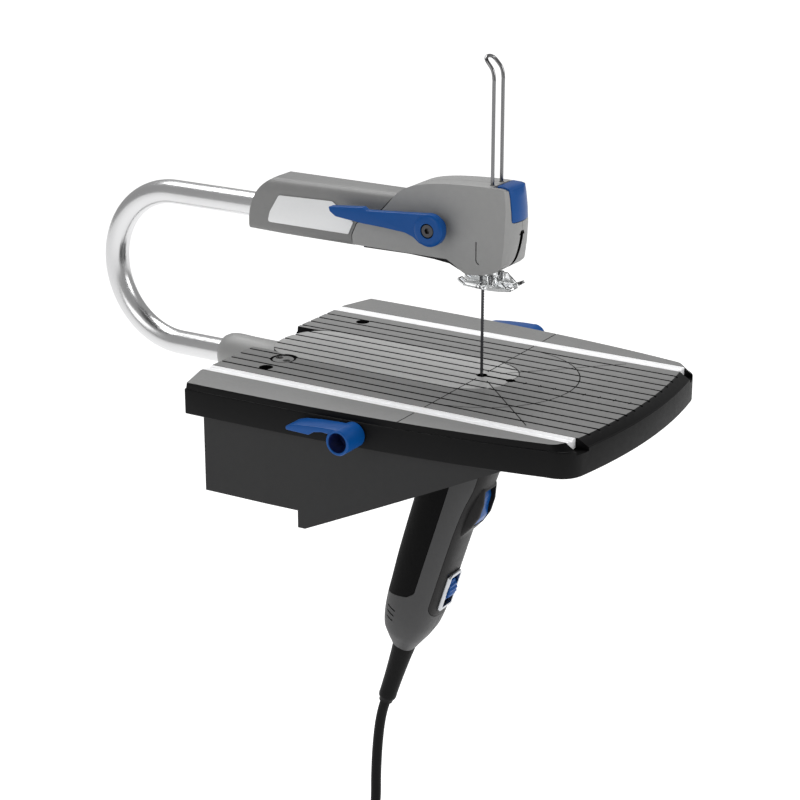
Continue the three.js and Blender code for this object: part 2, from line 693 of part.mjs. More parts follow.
/** The foot's hairpin rod: two legs through the head, bent back and joined at the top. */
function footRod() {
  const leg = (side) => [
    ...[FOOT_Z + 2.8, 140, 178, 184].map((z) => [side * ROD.x, ROD.y, z]),
    [side * ROD.x * 0.98, ROD.y + 1.2, 189.4], [side * ROD.x * 0.9, -3.4, 194.2],
  ];
  const points = [...leg(-1), [-3.2, -1.9, 195.8], [0, -1.5, 196.4], [3.2, -1.9, 195.8],
    ...leg(1).reverse()];
  const curve = new THREE.CatmullRomCurve3(
    points.map(([x, y, z]) => new THREE.Vector3(x, y, z)), false, 'centripetal',
  );
  return swept(curve, ROD.radius, 36, 8);
}

function buildHead() {
  add('head_shell_left', headShell(-1), shellGrey());
  add('head_shell_right', headShell(1), shellGrey());
  add('head_under_cover', prismX(underOutline(), -12, 12), blackPlastic());
  add('head_screw', alongX(sunkScrew()).translate(11.3, HEAD_SCREW.y, HEAD_SCREW.z), darkSteel());
  add('tension_lever', tensionLever(), blue());
  add('cam_shaft', camShaft(), steel());
  add('lever_screw', leverScrew(), darkSteel());
  add('release_button', releaseButton(), blue());
  add('hold_down_foot', holdDownFoot(), clearPlastic());
  add('foot_rod', footRod(), steel());
}

// ---------------------------------------------------------------- blade carriage

/** Block that grips a blade's cross pin in a notch. */
function bladeClamp(z0, z1, pinZ, open) {
  const slot = box(-0.8, 0.8, -10, 3.4, Math.min(z0, open), Math.max(z1, open));
  return cut(box(-4.2, 4.2, -4.6, 5, z0, z1), slot, barX(1.6, -3.6, 3.6, 0, pinZ, 10),
    box(-3.6, 3.6, -10, 0, pinZ - 1.6, pinZ + 1.6));
}

/** Helical spring between the upper clamp and its bush. */
function tensionSpring(z0, z1) {
  const turns = 5;
  const points = [];
  for (let i = 0; i <= turns * 8; i += 1) {
    const angle = (i / 8) * Math.PI * 2;
    points.push(new THREE.Vector3(
      5 * Math.cos(angle), 5 * Math.sin(angle), z0 + ((z1 - z0) * i) / (turns * 8),
    ));
  }
  return swept(new THREE.CatmullRomCurve3(points), 0.75, turns * 8, 6);
}

/** Slotted plate that the crank pin drives up and down, with its arm over to the blade's line. */
function driveYoke() {
  const { y, z } = CRANK;
  const windowHalf = { y: CRANK_THROW + 2.2 + GAP, z: STROKE + 2.2 + GAP };
  const plate = cut(
    prismX(outline([
      [y - 9.5, z - 10], [y - 6, z - 13.5], [y + 9, z - 13.5], [y + 8.8, z + 10], [5, z + 16],
      [5, -24.3], [-5, -24.3],
      [-5, z + 18], [y - 9.5, z + 12],
    ]), -13.5, -10.5),
    box(-20, 0, y - windowHalf.y, y + windowHalf.y, z - windowHalf.z, z + windowHalf.z),
  );
  return join(plate, box(-13.5, 5, -5, 5, -28, -24.3),
    bar(2.4, z - 26, z - 13, 10).translate(-12, y, 0));
}

function buildBladeCarriage() {
  const strip = box(-0.28, 0.28, -0.9, 1.1, BLADE_TOP - BLADE_LENGTH, BLADE_TOP);
  const pins = [UPPER_PIN_Z, LOWER_PIN_Z].map((z) => barX(0.7, -3.2, 3.2, 0.1, z, 8));
  add('blade', join(strip, ...pins), darkSteel());
  add('upper_blade_clamp', bladeClamp(70, 83, UPPER_PIN_Z, 60), steel());
  add('lower_blade_clamp', bladeClamp(-24, -14, LOWER_PIN_Z, 0), steel());
  add('upper_plunger', bar(2.6, 83.3, 108, 12), steel());
  add('upper_bush', ring(8.8, 3, 99, 105, 16), brass());
  add('tension_spring', tensionSpring(84.4, 98), darkSteel());
  add('drive_yoke', driveYoke(), steel());
  add('yoke_bush', ring(4.4, 2.8, -3, 1, 12).translate(-12, CRANK.y, CRANK.z - 20), brass());
}

// ---------------------------------------------------------------- handle and drive

// Handle stations along its axis: [z, half-width, rear depth, front depth].
const HANDLE_STATIONS = [
  [-150, 8.8, 8.4, 7.8],
  [-146, 11.6, 11.4, 9.4],
  [-138, 15.8, 16.8, 12.8],
  [-127, 18.2, 19.4, 16.2],
  [-112, 19.2, 20.9, 17.6],
  [-84, 19.5, 22.4, 17.4],
  [-50, 19.5, 23.3, 17.6],
  [-30, 19.6, 23.6, 19],
  [-14, 19.8, 23.8, 21.8],
  [60, 20, 24, 22.4],
];

/** The handle's outer form, or the same form shrunk all round by an inset. */
function handleForm(inset, from = -200) {
  const count = 20;
  const bend = (value, power) => Math.sign(value) * Math.abs(value) ** (2 / power);
  const rings = HANDLE_STATIONS.filter(([z]) => z >= from).map(([z, half, rear, front]) => {
    const points = [];
    for (let i = 0; i < count; i += 1) {
      const angle = (i / count) * Math.PI * 2;
      const [c, s] = [Math.cos(angle), Math.sin(angle)];
      const power = s > 0 ? 2.2 : 2.6;
      const depth = s > 0 ? rear : front;
      points.push(new THREE.Vector3(
        (half - inset) * bend(c, power), (depth - inset) * bend(s, power), z,
      ));
    }
    return points;
  });
  return loft(rings);
}

const ROOF = PLATFORM_DEPTH + 0.6; // depth of the handle's top below the table top
const aboveRoof = () => intoHandle(box(-60, 60, -90, 110, -ROOF, 90));

/** A (y, z) outline in the handle's frame, drawn across its whole width. */
const acrossHandle = (points, half = 40) => prismX(outline(points), -half, half);

const GRIP_EDGE = -3;
const gripRegion = (grow) => acrossHandle([
  [GRIP_EDGE - grow, -12 + grow], [GRIP_EDGE - grow, -100 - grow],
  [1, -105 - grow], [30, -118 - grow], [30, -12 + grow],
]);
const panelRegion = (grow) => prismY(panelFront(grow), -40, -9 + grow);

/** The front panel seen from the front: a long strip with a round lower end. */
function panelFront(grow) {
  const half = 14.2 + grow;
  const shape = new THREE.Shape();
  shape.moveTo(half, -2 + grow);
  shape.lineTo(-half, -2 + grow);
  shape.lineTo(-half, -106);
  shape.quadraticCurveTo(-half, -115.6 - grow, 0, -115.6 - grow);
  shape.quadraticCurveTo(half, -115.6 - grow, half, -106);
  shape.closePath();
  return shape;
}

const screwPlaces = () => [[-8, -66], [-2, -134]];

function handleShell(side) {
  const half = side < 0 ? box(-60, -GAP / 2, -60, 60, -220, 100) : box(GAP / 2, 60, -60, 60, -220, 100);
  const skin = cut(handleForm(0), handleForm(2.4, -146), aboveRoof());
  const tools = [
    cut(gripRegion(GAP), handleForm(1.9)),
    panelRegion(GAP),
    bar(8.2, -170, -140, 20),
    bar(9.6, -146.4, -138, 20),
  ];
  if (side > 0) tools.push(...screwPlaces().map(([y, z]) => barX(2.5, 14.4, 30, y, z, 12)));
  return common(cut(skin, ...tools), half);
}

const rearGrip = () => cut(common(handleForm(0), gripRegion(0)), handleForm(1.6), aboveRoof());

/** Black front strip with the guard walls beside the trigger and the dial's window. */
function frontPanel() {
  const strip = cut(common(handleForm(0), panelRegion(0)), handleForm(2.8), aboveRoof());
  const guard = outline([
    [-15, -8], [-21.2, -14], [-24, -22], [-24.2, -34], [-22.4, -41], [-17.6, -52], [-15, -52],
  ]);
  const walls = cut(prismX(guard, -9.4, 9.4), box(-6.7, 6.7, -40, 0, -42, -15.4), handleForm(2.8),
    aboveRoof());
  return cut(join(strip, walls), box(-6.7, 6.7, -40, 0, -42, -15.4),
    box(-8.8, 8.8, -40, 0, -112, -80));
}

function trigger() {
  const side = outline([
    [-15.6, -16.2], [-18.4, -16.2], [-21.6, -22], [-22, -30], [-23.2, -36], [-22, -41.2], [-15.6, -41.2],
  ]);
  return prismX(side, -6.3, 6.3);
}

/** Thumbwheel with ridges round its rim. */
function speedDial() {
  const points = [];
  const ridges = 18;
  for (let i = 0; i < ridges * 2; i += 1) {
    const angle = (i / (ridges * 2)) * Math.PI * 2;
    const reach = i % 2 ? 8.5 : 7.9;
    points.push([reach * Math.cos(angle), reach * Math.sin(angle)]);
  }
  return cut(prismX(outline(points), -4.4, 4.4), barX(1.6, -6, 6, 0, 0, 10))
    .translate(0, -12.6, -96);
}

function dialBezel() {
  const face = outline([[-8.5, -111.7], [8.5, -111.7], [8.5, -83.4], [5.4, -80.3], [-5.4, -80.3],
    [-8.5, -83.4]]);
  const open = box(-5.6, 5.6, -30, 0, -109, -83);
  return cut(prismY(face, -19.6, -16.4), open);
}

/** Crown gear: a flat disc with teeth on one face and the crank pin on the other. */
function crownGear() {
  const disc = alongX(ring(CROWN_RADIUS + 2.8, 2.6, -8, -4, 24));
  const tooth = box(-4.4, -2.65, -0.42, 0.42, -CROWN_RADIUS - 2.6, -CROWN_RADIUS + 2.4);
  const teeth = [];
  for (let i = 0; i < CROWN_TEETH; i += 1) {
    const angle = ((i + 0.5) / CROWN_TEETH) * Math.PI * 2;
    teeth.push(tooth.clone().rotateX(angle));
  }
  const crankPin = barX(2.2, -15.4, -6.9, CRANK_THROW * Math.cos(LEAN),
    -CRANK_THROW * Math.sin(LEAN), 12);
  return join(disc, ...teeth, crankPin);
}

/** Small spur gear with straight-sided teeth, on the armature's nose. */
function pinion() {
  const shape = new THREE.Shape();
  for (let i = 0; i < PINION_TEETH; i += 1) {
    const middle = Math.PI + (i / PINION_TEETH) * Math.PI * 2;
    const corner = (radius, turn) => [
      radius * Math.cos(middle + turn), radius * Math.sin(middle + turn),
    ];
    const points = [corner(2.1, -0.26), corner(3.55, -0.08), corner(3.55, 0.08), corner(2.1, 0.26)];
    points.forEach(([x, y], n) => (i + n === 0 ? shape.moveTo(x, y) : shape.lineTo(x, y)));
  }
  shape.closePath();
  const faceStart = -CROWN_RADIUS - 2.2;
  return cut(prismZ(shape, faceStart, faceStart + 4.4), bar(1.4, -30, 0, 8));
}

/** Armature: shaft, wound core and commutator in one turned piece. */
const armature = () => turned([
  [0, -89], [2, -89], [2, -83.4], [5.4, -83.4], [5.4, -78], [9, -77], [11.6, -75.6], [11.6, -54],
  [9, -52.4], [2, -51.4], [2, -18], [1.1, -17.8], [1.1, -12.4], [0, -12.4],
], 16);

function motorFan() {
  const disc = ring(12.4, 2.3, -47, -45.8, 18);
  const vane = box(4, 12, -0.5, 0.5, -46.2, -43);
  const vanes = [0, 1, 2, 3, 4, 5].map((i) => vane.clone().rotateZ((i / 6) * Math.PI * 2));
  return join(disc, ...vanes);
}

/** Motor can: a sleeve with a floor that seats the rear bearing. */
const motorCan = () => turned([
  [12.8, -48.5], [12.8, -83], [6.4, -84.2], [6.4, -85.4], [14.2, -85.4], [14.2, -48.5], [12.8, -48.5],
], 18);

/** Bracket that holds the front bearing and the crown gear's axle. */
function gearFrame() {
  const wall = cut(box(9, 12, -12, 13, -25, 14), alongX(bar(2.6, 5, 20, 12)));
  const shelf = cut(box(-9, 12, -5.9, 13, -25.6, -23.2), bar(5.6, -30, -20, 16));
  return join(wall, shelf);
}

function buildHandle() {
  addToHandle('handle_shell_left', handleShell(-1), handleGrey());
  addToHandle('handle_shell_right', handleShell(1), handleGrey());
  addToHandle('rear_grip', rearGrip(), softRubber());
  addToHandle('front_panel', frontPanel(), blackPlastic());
  screwPlaces().forEach(([y, z], i) => {
    addToHandle(`handle_screw_${i + 1}`, alongX(sunkScrew()).translate(14.7, y, z), darkSteel());
  });
  addToHandle('trigger', trigger(), blue());
  addToHandle('switch_body', box(-6.6, 6.6, -11, -6.4, -40, -20), blackPlastic());
  addToHandle('dial_bezel', dialBezel(), labelSilver());
  addToHandle('speed_dial', speedDial(), blue());
  addToHandle('speed_control_board', box(-13, 13, -3, -1.4, -120, -92), boardGreen());
  addToHandle('motor_can', motorCan(), steel());
  addToHandle('armature', armature(), copper());
  addToHandle('motor_fan', motorFan(), blackPlastic());
  addToHandle('front_bearing', ring(5.3, 2.3, -27.4, -23, 16), steel());
  addToHandle('rear_bearing', ring(6, 2.3, -89, -85.7, 16), steel());
  addToHandle('pinion', pinion(), brass());
  addToHandle('crank_gear', crownGear(), brass());
  addToHandle('gear_axle', alongX(bar(2.3, -6.4, 15, 12)), steel());
  addToHandle('gear_frame', gearFrame(), aluminium());
}

// ---------------------------------------------------------------- mains lead

/** Ribbed cone that carries the lead out of the handle's lower end. */
const strainRelief = () => turned([
  [0, -198.6], [4.6, -198.6], [5.6, -196], [5.6, -193.6], [4.9, -193], [7.7, -150.4], [7.8, -146],
  [9.3, -145.8], [9.3, -142.6], [0, -142.6],
], 16);

// The lead's route where it isn't coiled, as [y, z] points in the plane of the blade.
const DROP_ROUTE = [
  [70.2, -241.3], [71.8, -246.5], [73.4, -253], [74.8, -261], [75.9, -270], [76.8, -280],
  [77.5, -292], [77.9, -304], [78, -314], [78.5, -322], [79.8, -328.6], [82, -333.3],
];
const TAIL_ROUTE = [[125, -413], [125, -422], [124.8, -431], [124.5, -440]];

const inMiddle = (points) => new THREE.CatmullRomCurve3(
  points.map(([y, z]) => new THREE.Vector3(0, y, z)), false, 'centripetal',
);

/** The coil's outer form, a ring about X. */
function coilForm() {
  const profile = [];
  for (let i = 0; i <= 10; i += 1) {
    const angle = (i / 10) * Math.PI * 2;
    profile.push([COIL_RADIUS + COIL_SECTION * Math.cos(angle), COIL_SECTION * Math.sin(angle)]);
  }
  return alongX(turned(profile, 30)).translate(0, COIL_CENTRE.y, COIL_CENTRE.z);
}

/** Band round the coil's bundle of turns. */
const cordTie = () => ring(12.6, 11.2, -4, 4, 16).rotateX(Math.PI / 2)
  .translate(0, 0, COIL_RADIUS).rotateX(THREE.MathUtils.degToRad(40))
  .translate(0, COIL_CENTRE.y, COIL_CENTRE.z);

/** Two-pin mains plug that hangs from the end of the lead. */
function plugBody() {
  const section = (halfX, halfY) => outline([
    [-halfX, -halfY * 0.5], [-halfX * 0.55, -halfY], [halfX * 0.55, -halfY], [halfX, -halfY * 0.5],
    [halfX, halfY * 0.5], [halfX * 0.55, halfY], [-halfX * 0.55, halfY], [-halfX, halfY * 0.5],
  ]).getPoints();
  const rings = [[0, 5, 5], [-14, 6.4, 5.6], [-18, 15, 6.8], [-40, 17.6, 6.9]].map(([z, a, b]) =>
    section(a, b).slice(0, 8).map((p) => new THREE.Vector3(p.x, p.y, z)));
  return loft(rings.reverse());
}

function buildLead() {
  addToHandle('strain_relief', strainRelief(), softRubber());
  add('cord_drop', swept(inMiddle(DROP_ROUTE), CORD_RADIUS, 14, 10), softRubber());
  add('cord_coil', coilForm(), softRubber());
  add('cord_tie', cordTie(), blackPlastic());
  add('cord_tail', swept(inMiddle(TAIL_ROUTE), CORD_RADIUS, 4, 10), softRubber());
  const [plugY, plugZ] = TAIL_ROUTE.at(-1);
  add('plug_body', plugBody().translate(0, plugY, plugZ - GAP), softRubber());
  for (const [name, side] of [['left', -1], ['right', 1]]) {
    add(`${name}_plug_pin`, bar(2, -19, 0, 12).translate(side * 9.3, plugY, plugZ - 40 - 2 * GAP),
      steel());
  }
}

// ---------------------------------------------------------------- the saw

buildTable();
buildFrame();
buildHead();
buildBladeCarriage();
buildHandle();
buildLead();

saw.position.set(0, -(SEAT_FRONT + BASE_REAR) / 2, -SEAT_Z);
const part = new THREE.Group();
part.add(saw);

export default part;
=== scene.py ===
"""Compact scroll saw: the visual model, its materials, the light and the camera.

Shapes are drawn in millimetres in two places and carried into the row's frame, in metres:
BLADE has its origin where the blade crosses the table top, +X right, -Y to the operator, +Z up.
HANDLE has its origin on the crank's axis, +Z up the leaning handle and +Y to its rear face.
"""
import json
import math

import bmesh
import bpy
from mathutils import Matrix, Vector


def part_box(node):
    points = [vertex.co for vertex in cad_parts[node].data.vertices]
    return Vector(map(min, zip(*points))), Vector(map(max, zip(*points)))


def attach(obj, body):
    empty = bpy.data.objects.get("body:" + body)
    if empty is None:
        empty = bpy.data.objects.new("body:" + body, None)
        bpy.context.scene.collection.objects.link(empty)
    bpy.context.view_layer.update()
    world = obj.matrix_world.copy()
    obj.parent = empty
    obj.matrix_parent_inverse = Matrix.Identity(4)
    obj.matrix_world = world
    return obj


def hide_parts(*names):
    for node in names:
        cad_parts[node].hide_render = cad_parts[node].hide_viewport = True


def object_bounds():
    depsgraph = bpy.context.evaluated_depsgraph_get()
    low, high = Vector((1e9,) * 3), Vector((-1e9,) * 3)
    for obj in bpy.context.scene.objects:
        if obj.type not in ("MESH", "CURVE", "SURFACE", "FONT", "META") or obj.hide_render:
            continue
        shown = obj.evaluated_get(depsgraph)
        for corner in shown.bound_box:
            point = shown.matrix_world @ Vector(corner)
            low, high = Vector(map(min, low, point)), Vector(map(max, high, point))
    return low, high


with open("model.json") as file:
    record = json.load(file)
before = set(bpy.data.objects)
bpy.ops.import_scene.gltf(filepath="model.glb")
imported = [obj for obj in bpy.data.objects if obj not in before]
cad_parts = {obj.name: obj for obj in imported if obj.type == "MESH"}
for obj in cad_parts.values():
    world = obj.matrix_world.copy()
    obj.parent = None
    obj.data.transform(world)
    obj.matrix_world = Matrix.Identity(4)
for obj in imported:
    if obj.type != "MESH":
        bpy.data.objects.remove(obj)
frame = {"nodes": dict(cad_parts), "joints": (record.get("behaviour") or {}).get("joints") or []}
CAD_LOW, CAD_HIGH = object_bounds()

MM = 0.001
JOINTS = {joint["name"]: joint for joint in frame["joints"]}


def middle(node):
    low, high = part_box(node)
    return (Vector(low) + Vector(high)) / 2


def blade_matrix():
    """From millimetres round the blade to metres in the row."""
    origin = Vector((0, middle("upper_bush").y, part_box("table_top")[1][2]))
    return Matrix.Translation(origin) @ Matrix.Scale(MM, 4)


def handle_matrix():
    """From millimetres in the leaning handle to metres in the row."""
    spin = JOINTS["armature_spin"]
    up = Vector(spin["axis"]).normalized()
    right = Vector((1, 0, 0))
    rear = up.cross(right)
    turn = Matrix((right, rear, up)).transposed().to_4x4()
    return Matrix.Translation(Vector(spin["pos_m"])) @ turn @ Matrix.Scale(MM, 4)


BLADE = blade_matrix()
HANDLE = handle_matrix()

# Driving dimensions, in millimetres, as the CAD has them.
GAP = 0.3
TABLE_HALF_REAR = 106.5
TABLE_HALF_FRONT = 88
TABLE_REAR = 154.5
TABLE_FRONT = -107
TABLE_BULGE = 14
SKIRT_DEPTH = 20
SKIRT_WALL = 3.5
TABLE_PLATE = 5
EDGE_STEP = 3.8
FRONT_SLOPE = 7
GROOVE_PITCH = 10
GROOVE_WIDTH = 1.9
GROOVE_DEPTH = 0.8
RAIL_X = 74.5
RAIL_WIDTH = 9.6
RAIL_DEPTH = 6
RAIL_FRONT = -99.5
RAIL_REAR = 152.5
PLATFORM_HALF = 29
PLATFORM_REAR = 147
PLATFORM_NOSE = -20
PLATFORM_DEPTH = 6
SLOT_REAR_HALF = 25.6
MARK_CIRCLE = 60
MARK_WIDTH = 0.7
MARK_DEPTH = 0.35
TUBE_RADIUS = 8
TUBE_BORE = 6.4
TUBE_LOW_Z = -16.9
TUBE_HIGH_Z = 86.2
TUBE_BEND_Y = 230.3
ARM_HALF = 14
HEAD_HALF = 14.8
HEAD_TOP_HALF = 12.8
LEVER_AXIS = (23, 94)
LEVER_HUB = 10
ROD_X = 5.5
ROD_Y = -8.5
ROD_RADIUS = 1.1
FOOT_Z = 57.4
LOCK_AXIS = (27, -11.2)
LOCK_INNER = 103.7
LOCK_LENGTH = 18.3
PLUG_AT = (-36.5, 122.5)
PLUG_RADIUS = 8
KERF = 2.6
DIAL_AT = (-12.6, -96)
CORD_RADIUS = 3.5
COIL_CENTRE = (78, -386)
COIL_RADIUS = 40

CAMERA_TARGET = (-13.5, 50.6, -21.3)
CAMERA_ANGLES = (-58.63, 19.2)
CAMERA_DISTANCE = 1.3065
CAMERA_LENS = 94.3


# ---------------------------------------------------------------- camera and light

def camera_back(azimuth, elevation):
    """Unit vector from the target to a camera at these angles; azimuth 0 looks along +Y."""
    a, e = math.radians(azimuth), math.radians(elevation)
    return Vector((math.sin(a) * math.cos(e), -math.cos(a) * math.cos(e), math.sin(e)))


def add_camera():
    data = bpy.data.cameras.new("camera")
    data.sensor_width = 36
    data.lens = CAMERA_LENS
    camera = bpy.data.objects.new("camera", data)
    bpy.context.collection.objects.link(camera)
    back = camera_back(*CAMERA_ANGLES)
    camera.location = BLADE @ Vector(CAMERA_TARGET) + back * CAMERA_DISTANCE
    camera.rotation_mode = "QUATERNION"
    camera.rotation_quaternion = back.to_track_quat("Z", "Y")
    data.clip_end = 20
    bpy.context.scene.camera = camera


def area_light(name, azimuth, elevation, distance, size, power):
    data = bpy.data.lights.new(name, "AREA")
    data.shape = "RECTANGLE"
    data.size, data.size_y = size
    data.energy = power
    light = bpy.data.objects.new(name, data)
    bpy.context.collection.objects.link(light)
    back = camera_back(azimuth, elevation)
    light.location = BLADE @ Vector((0, 40, 0)) + back * distance
    light.rotation_mode = "QUATERNION"
    light.rotation_quaternion = back.to_track_quat("Z", "Y")


def add_sky():
    """Pale all round the horizon, darker overhead."""
    world = bpy.data.worlds.new("studio")
    bpy.context.scene.world = world
    world.use_nodes = True
    tree = world.node_tree
    direction = tree.nodes.new("ShaderNodeTexCoord")
    height = tree.nodes.new("ShaderNodeSeparateXYZ")
    shade = tree.nodes.new("ShaderNodeValToRGB")
    ramp = shade.color_ramp.elements
    ramp[0].position, ramp[0].color = 0.78, (0.42, 0.42, 0.42, 1)
    ramp[1].position, ramp[1].color = 0.88, (0.04, 0.04, 0.04, 1)
    tree.links.new(direction.outputs["Generated"], height.inputs["Vector"])
    tree.links.new(height.outputs["Z"], shade.inputs["Fac"])
    tree.links.new(shade.outputs["Color"], tree.nodes["Background"].inputs["Color"])


def add_studio():
    """Pale floor with painted glow and painted shade, soft white surroundings and three broad lights."""
    bpy.context.scene.view_settings.view_transform = "Standard"
    add_sky()
    area_light("front_key", 12, 26, 1.5, (0.9, 0.7), 8)
    area_light("left_fill", -100, 22, 1.8, (0.8, 1.0), 5)
    area_light("rear_top", 150, 62, 1.4, (1.2, 0.7), 17)
    depth = CAD_LOW[2] - 0.12
    floor = mesh_object("floor", [(-9, -9, depth), (9, -9, depth), (9, 9, depth), (-9, 9, depth)],
                        [(0, 1, 2, 3)], Matrix.Identity(4))
    floor.data.materials.append(floor_finish())


# ---------------------------------------------------------------- meshes

def mesh_object(name, points, faces, matrix=BLADE):
    """A new object from points in millimetres, with its faces turned outwards."""
    mesh = bpy.data.meshes.new(name)
    mesh.from_pydata([matrix @ Vector(p) for p in points], [], faces)
    built = bmesh.new()
    built.from_mesh(mesh)
    bmesh.ops.remove_doubles(built, verts=built.verts, dist=1e-7)
    bmesh.ops.recalc_face_normals(built, faces=built.faces)
    built.to_mesh(mesh)
    built.free()
    obj = bpy.data.objects.new(name, mesh)
    bpy.context.collection.objects.link(obj)
    return obj


def settle(obj):
    """Makes an object's modifiers part of its mesh."""
    graph = bpy.context.evaluated_depsgraph_get()
    mesh = bpy.data.meshes.new_from_object(obj.evaluated_get(graph))
    obj.modifiers.clear()
    obj.data = mesh
    mesh.name = obj.name
    return obj


def boolean(obj, operation, tools):
    """Cuts, joins or keeps what the tools share with obj, then removes the tools."""
    for tool in tools:
        modifier = obj.modifiers.new("boolean", "BOOLEAN")
        modifier.operation = operation
        modifier.solver = "EXACT"
        modifier.object = tool
        settle(obj)
        bpy.data.objects.remove(tool)
    return obj


def cut(obj, *tools):
    return boolean(obj, "DIFFERENCE", tools)


def join(obj, *tools):
    return boolean(obj, "UNION", tools)


def common(obj, *tools):
    return boolean(obj, "INTERSECT", tools)


def soften(obj, width, segments=2, angle=35):
    """Rounds every edge sharper than angle by width millimetres."""
    modifier = obj.modifiers.new("bevel", "BEVEL")
    modifier.width = width * MM
    modifier.segments = segments
    modifier.limit_method = "ANGLE"
    modifier.angle_limit = math.radians(angle)
    modifier.miter_outer = "MITER_ARC"
    modifier.use_clamp_overlap = True
    return settle(obj)


def smooth(obj, angle=32):
    """Smooth shading, with edges sharper than angle kept crisp."""
    mesh = obj.data
    mesh.polygons.foreach_set("use_smooth", [True] * len(mesh.polygons))
    mesh.set_sharp_from_angle(angle=math.radians(angle))
    mesh.update()
    return obj


def place(obj, body, nodes, material, angle=32):
    """Shades a piece, gives it its material and its body, and hides the CAD nodes it stands for."""
    smooth(obj, angle)
    obj.data.materials.clear()
    obj.data.materials.append(material)
    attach(obj, body)
    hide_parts(*nodes)
    return obj


class Outline:
    """A flat outline drawn as lines and curves."""

    def __init__(self, start, steps=12):
        self.points = [Vector(start)]
        self.steps = steps

    def line(self, *points):
        self.points += [Vector(p) for p in points]
        return self

    def curve(self, control, end):
        start, control, end = self.points[-1], Vector(control), Vector(end)
        for i in range(1, self.steps + 1):
            t = i / self.steps
            self.points.append(start * (1 - t) ** 2 + control * 2 * t * (1 - t) + end * t * t)
        return self

    def cubic(self, first, second, end):
        start, first, second, end = (self.points[-1], Vector(first), Vector(second), Vector(end))
        for i in range(1, self.steps + 1):
            t, u = i / self.steps, 1 - i / self.steps
            self.points.append(start * u ** 3 + first * 3 * t * u * u
                               + second * 3 * t * t * u + end * t ** 3)
        return self


def rounded(corners, steps=6):
    """Points of a polygon whose corners, given as (a, b, radius), are rounded."""
    points = []
    count = len(corners)
    for i, (a, b, radius) in enumerate(corners):
        here = Vector((a, b))
        if radius <= 0:
            points.append(here)
            continue
        before = Vector(corners[i - 1][:2]) - here
        after = Vector(corners[(i + 1) % count][:2]) - here
        half = before.angle(after) / 2
        reach = min(radius / math.tan(half), before.length * 0.49, after.length * 0.49)
        first = here + before.normalized() * reach
        last = here + after.normalized() * reach
        for k in range(steps + 1):
            t = k / steps
            points.append(first * (1 - t) ** 2 + here * 2 * t * (1 - t) + last * t * t)
    return points


AXES = {
    "X": lambda a, b, c: (c, a, b),
    "Y": lambda a, b, c: (a, c, b),
    "Z": lambda a, b, c: (a, b, c),
}


def prism(name, outline, low, high, axis="Z", matrix=BLADE):
    """An outline drawn out along an axis. It is in (y, z) for X, (x, z) for Y and (x, y) for Z."""
    put = AXES[axis]
    count = len(outline)
    points = [put(p[0], p[1], low) for p in outline] + [put(p[0], p[1], high) for p in outline]
    faces = [tuple(range(count)), tuple(range(2 * count - 1, count - 1, -1))]
    faces += [(i, (i + 1) % count, count + (i + 1) % count, count + i) for i in range(count)]
    return mesh_object(name, points, faces, matrix)


def box(x0, x1, y0, y1, z0, z1, matrix=BLADE, name="box"):
    return prism(name, [(x0, y0), (x1, y0), (x1, y1), (x0, y1)], z0, z1, "Z", matrix)


def skin(name, rings, matrix=BLADE):
    """A closed skin through rings of points, with flat ends."""
    count = len(rings[0])
    points = [p for ring in rings for p in ring]
    faces = [tuple(range(count)), tuple(range(len(points) - 1, len(points) - count - 1, -1))]
    for r in range(len(rings) - 1):
        for i in range(count):
            j = (i + 1) % count
            faces.append((r * count + i, r * count + j, (r + 1) * count + j, (r + 1) * count + i))
    return mesh_object(name, points, faces, matrix)


def circle(radius, sides=48, centre=(0, 0)):
    return [(centre[0] + radius * math.cos(2 * math.pi * i / sides),
             centre[1] + radius * math.sin(2 * math.pi * i / sides)) for i in range(sides)]


def turned(name, profile, axis="Z", centre=(0, 0, 0), sides=64, matrix=BLADE):
    """A closed profile of (radius, height) turned about an axis through centre."""
    put = AXES[axis]
    points, faces, rows = [], [], []
    for radius, height in profile:
        on_axis = radius < 1e-6
        angles = [0] if on_axis else [2 * math.pi * i / sides for i in range(sides)]
        rows.append([len(points) + i for i in range(len(angles))])
        for angle in angles:
            place_at = Vector(put(radius * math.cos(angle), radius * math.sin(angle), height))
            points.append(place_at + Vector(centre))
    closed = profile[0][0] > 1e-6
    for k in range(len(rows) - (0 if closed else 1)):
        low, high = rows[k], rows[(k + 1) % len(rows)]
        if len(low) == 1 and len(high) == 1:
            continue
        for i in range(sides):
            j = (i + 1) % sides
            if len(low) == 1:
                faces.append((low[0], high[j], high[i]))
            elif len(high) == 1:
                faces.append((low[i], low[j], high[0]))
            else:
                faces.append((low[i], low[j], high[j], high[i]))
    return mesh_object(name, points, faces, matrix)


def bar(radius, low, high, axis="Z", centre=(0, 0, 0), sides=40, matrix=BLADE, name="bar"):
    return turned(name, [(0, low), (radius, low), (radius, high), (0, high)], axis, centre, sides,
                  matrix)


def tube_rings(points, radius, sides):
    """Rings of points square to a path, turned as little as possible from one to the next."""
    path = [Vector(p) for p in points]
    rings = []
    side = None
    for i, here in enumerate(path):
        ahead = (path[min(i + 1, len(path) - 1)] - path[max(i - 1, 0)]).normalized()
        if side is None:
            side = ahead.orthogonal().normalized()
        side = (side - ahead * side.dot(ahead)).normalized()
        other = ahead.cross(side)
        rings.append([tuple(here + (side * math.cos(a) + other * math.sin(a)) * radius)
                      for a in (2 * math.pi * k / sides for k in range(sides))])
    return rings


def round_tube(name, points, radius, sides=24, matrix=BLADE):
    return skin(name, tube_rings(points, radius, sides), matrix)


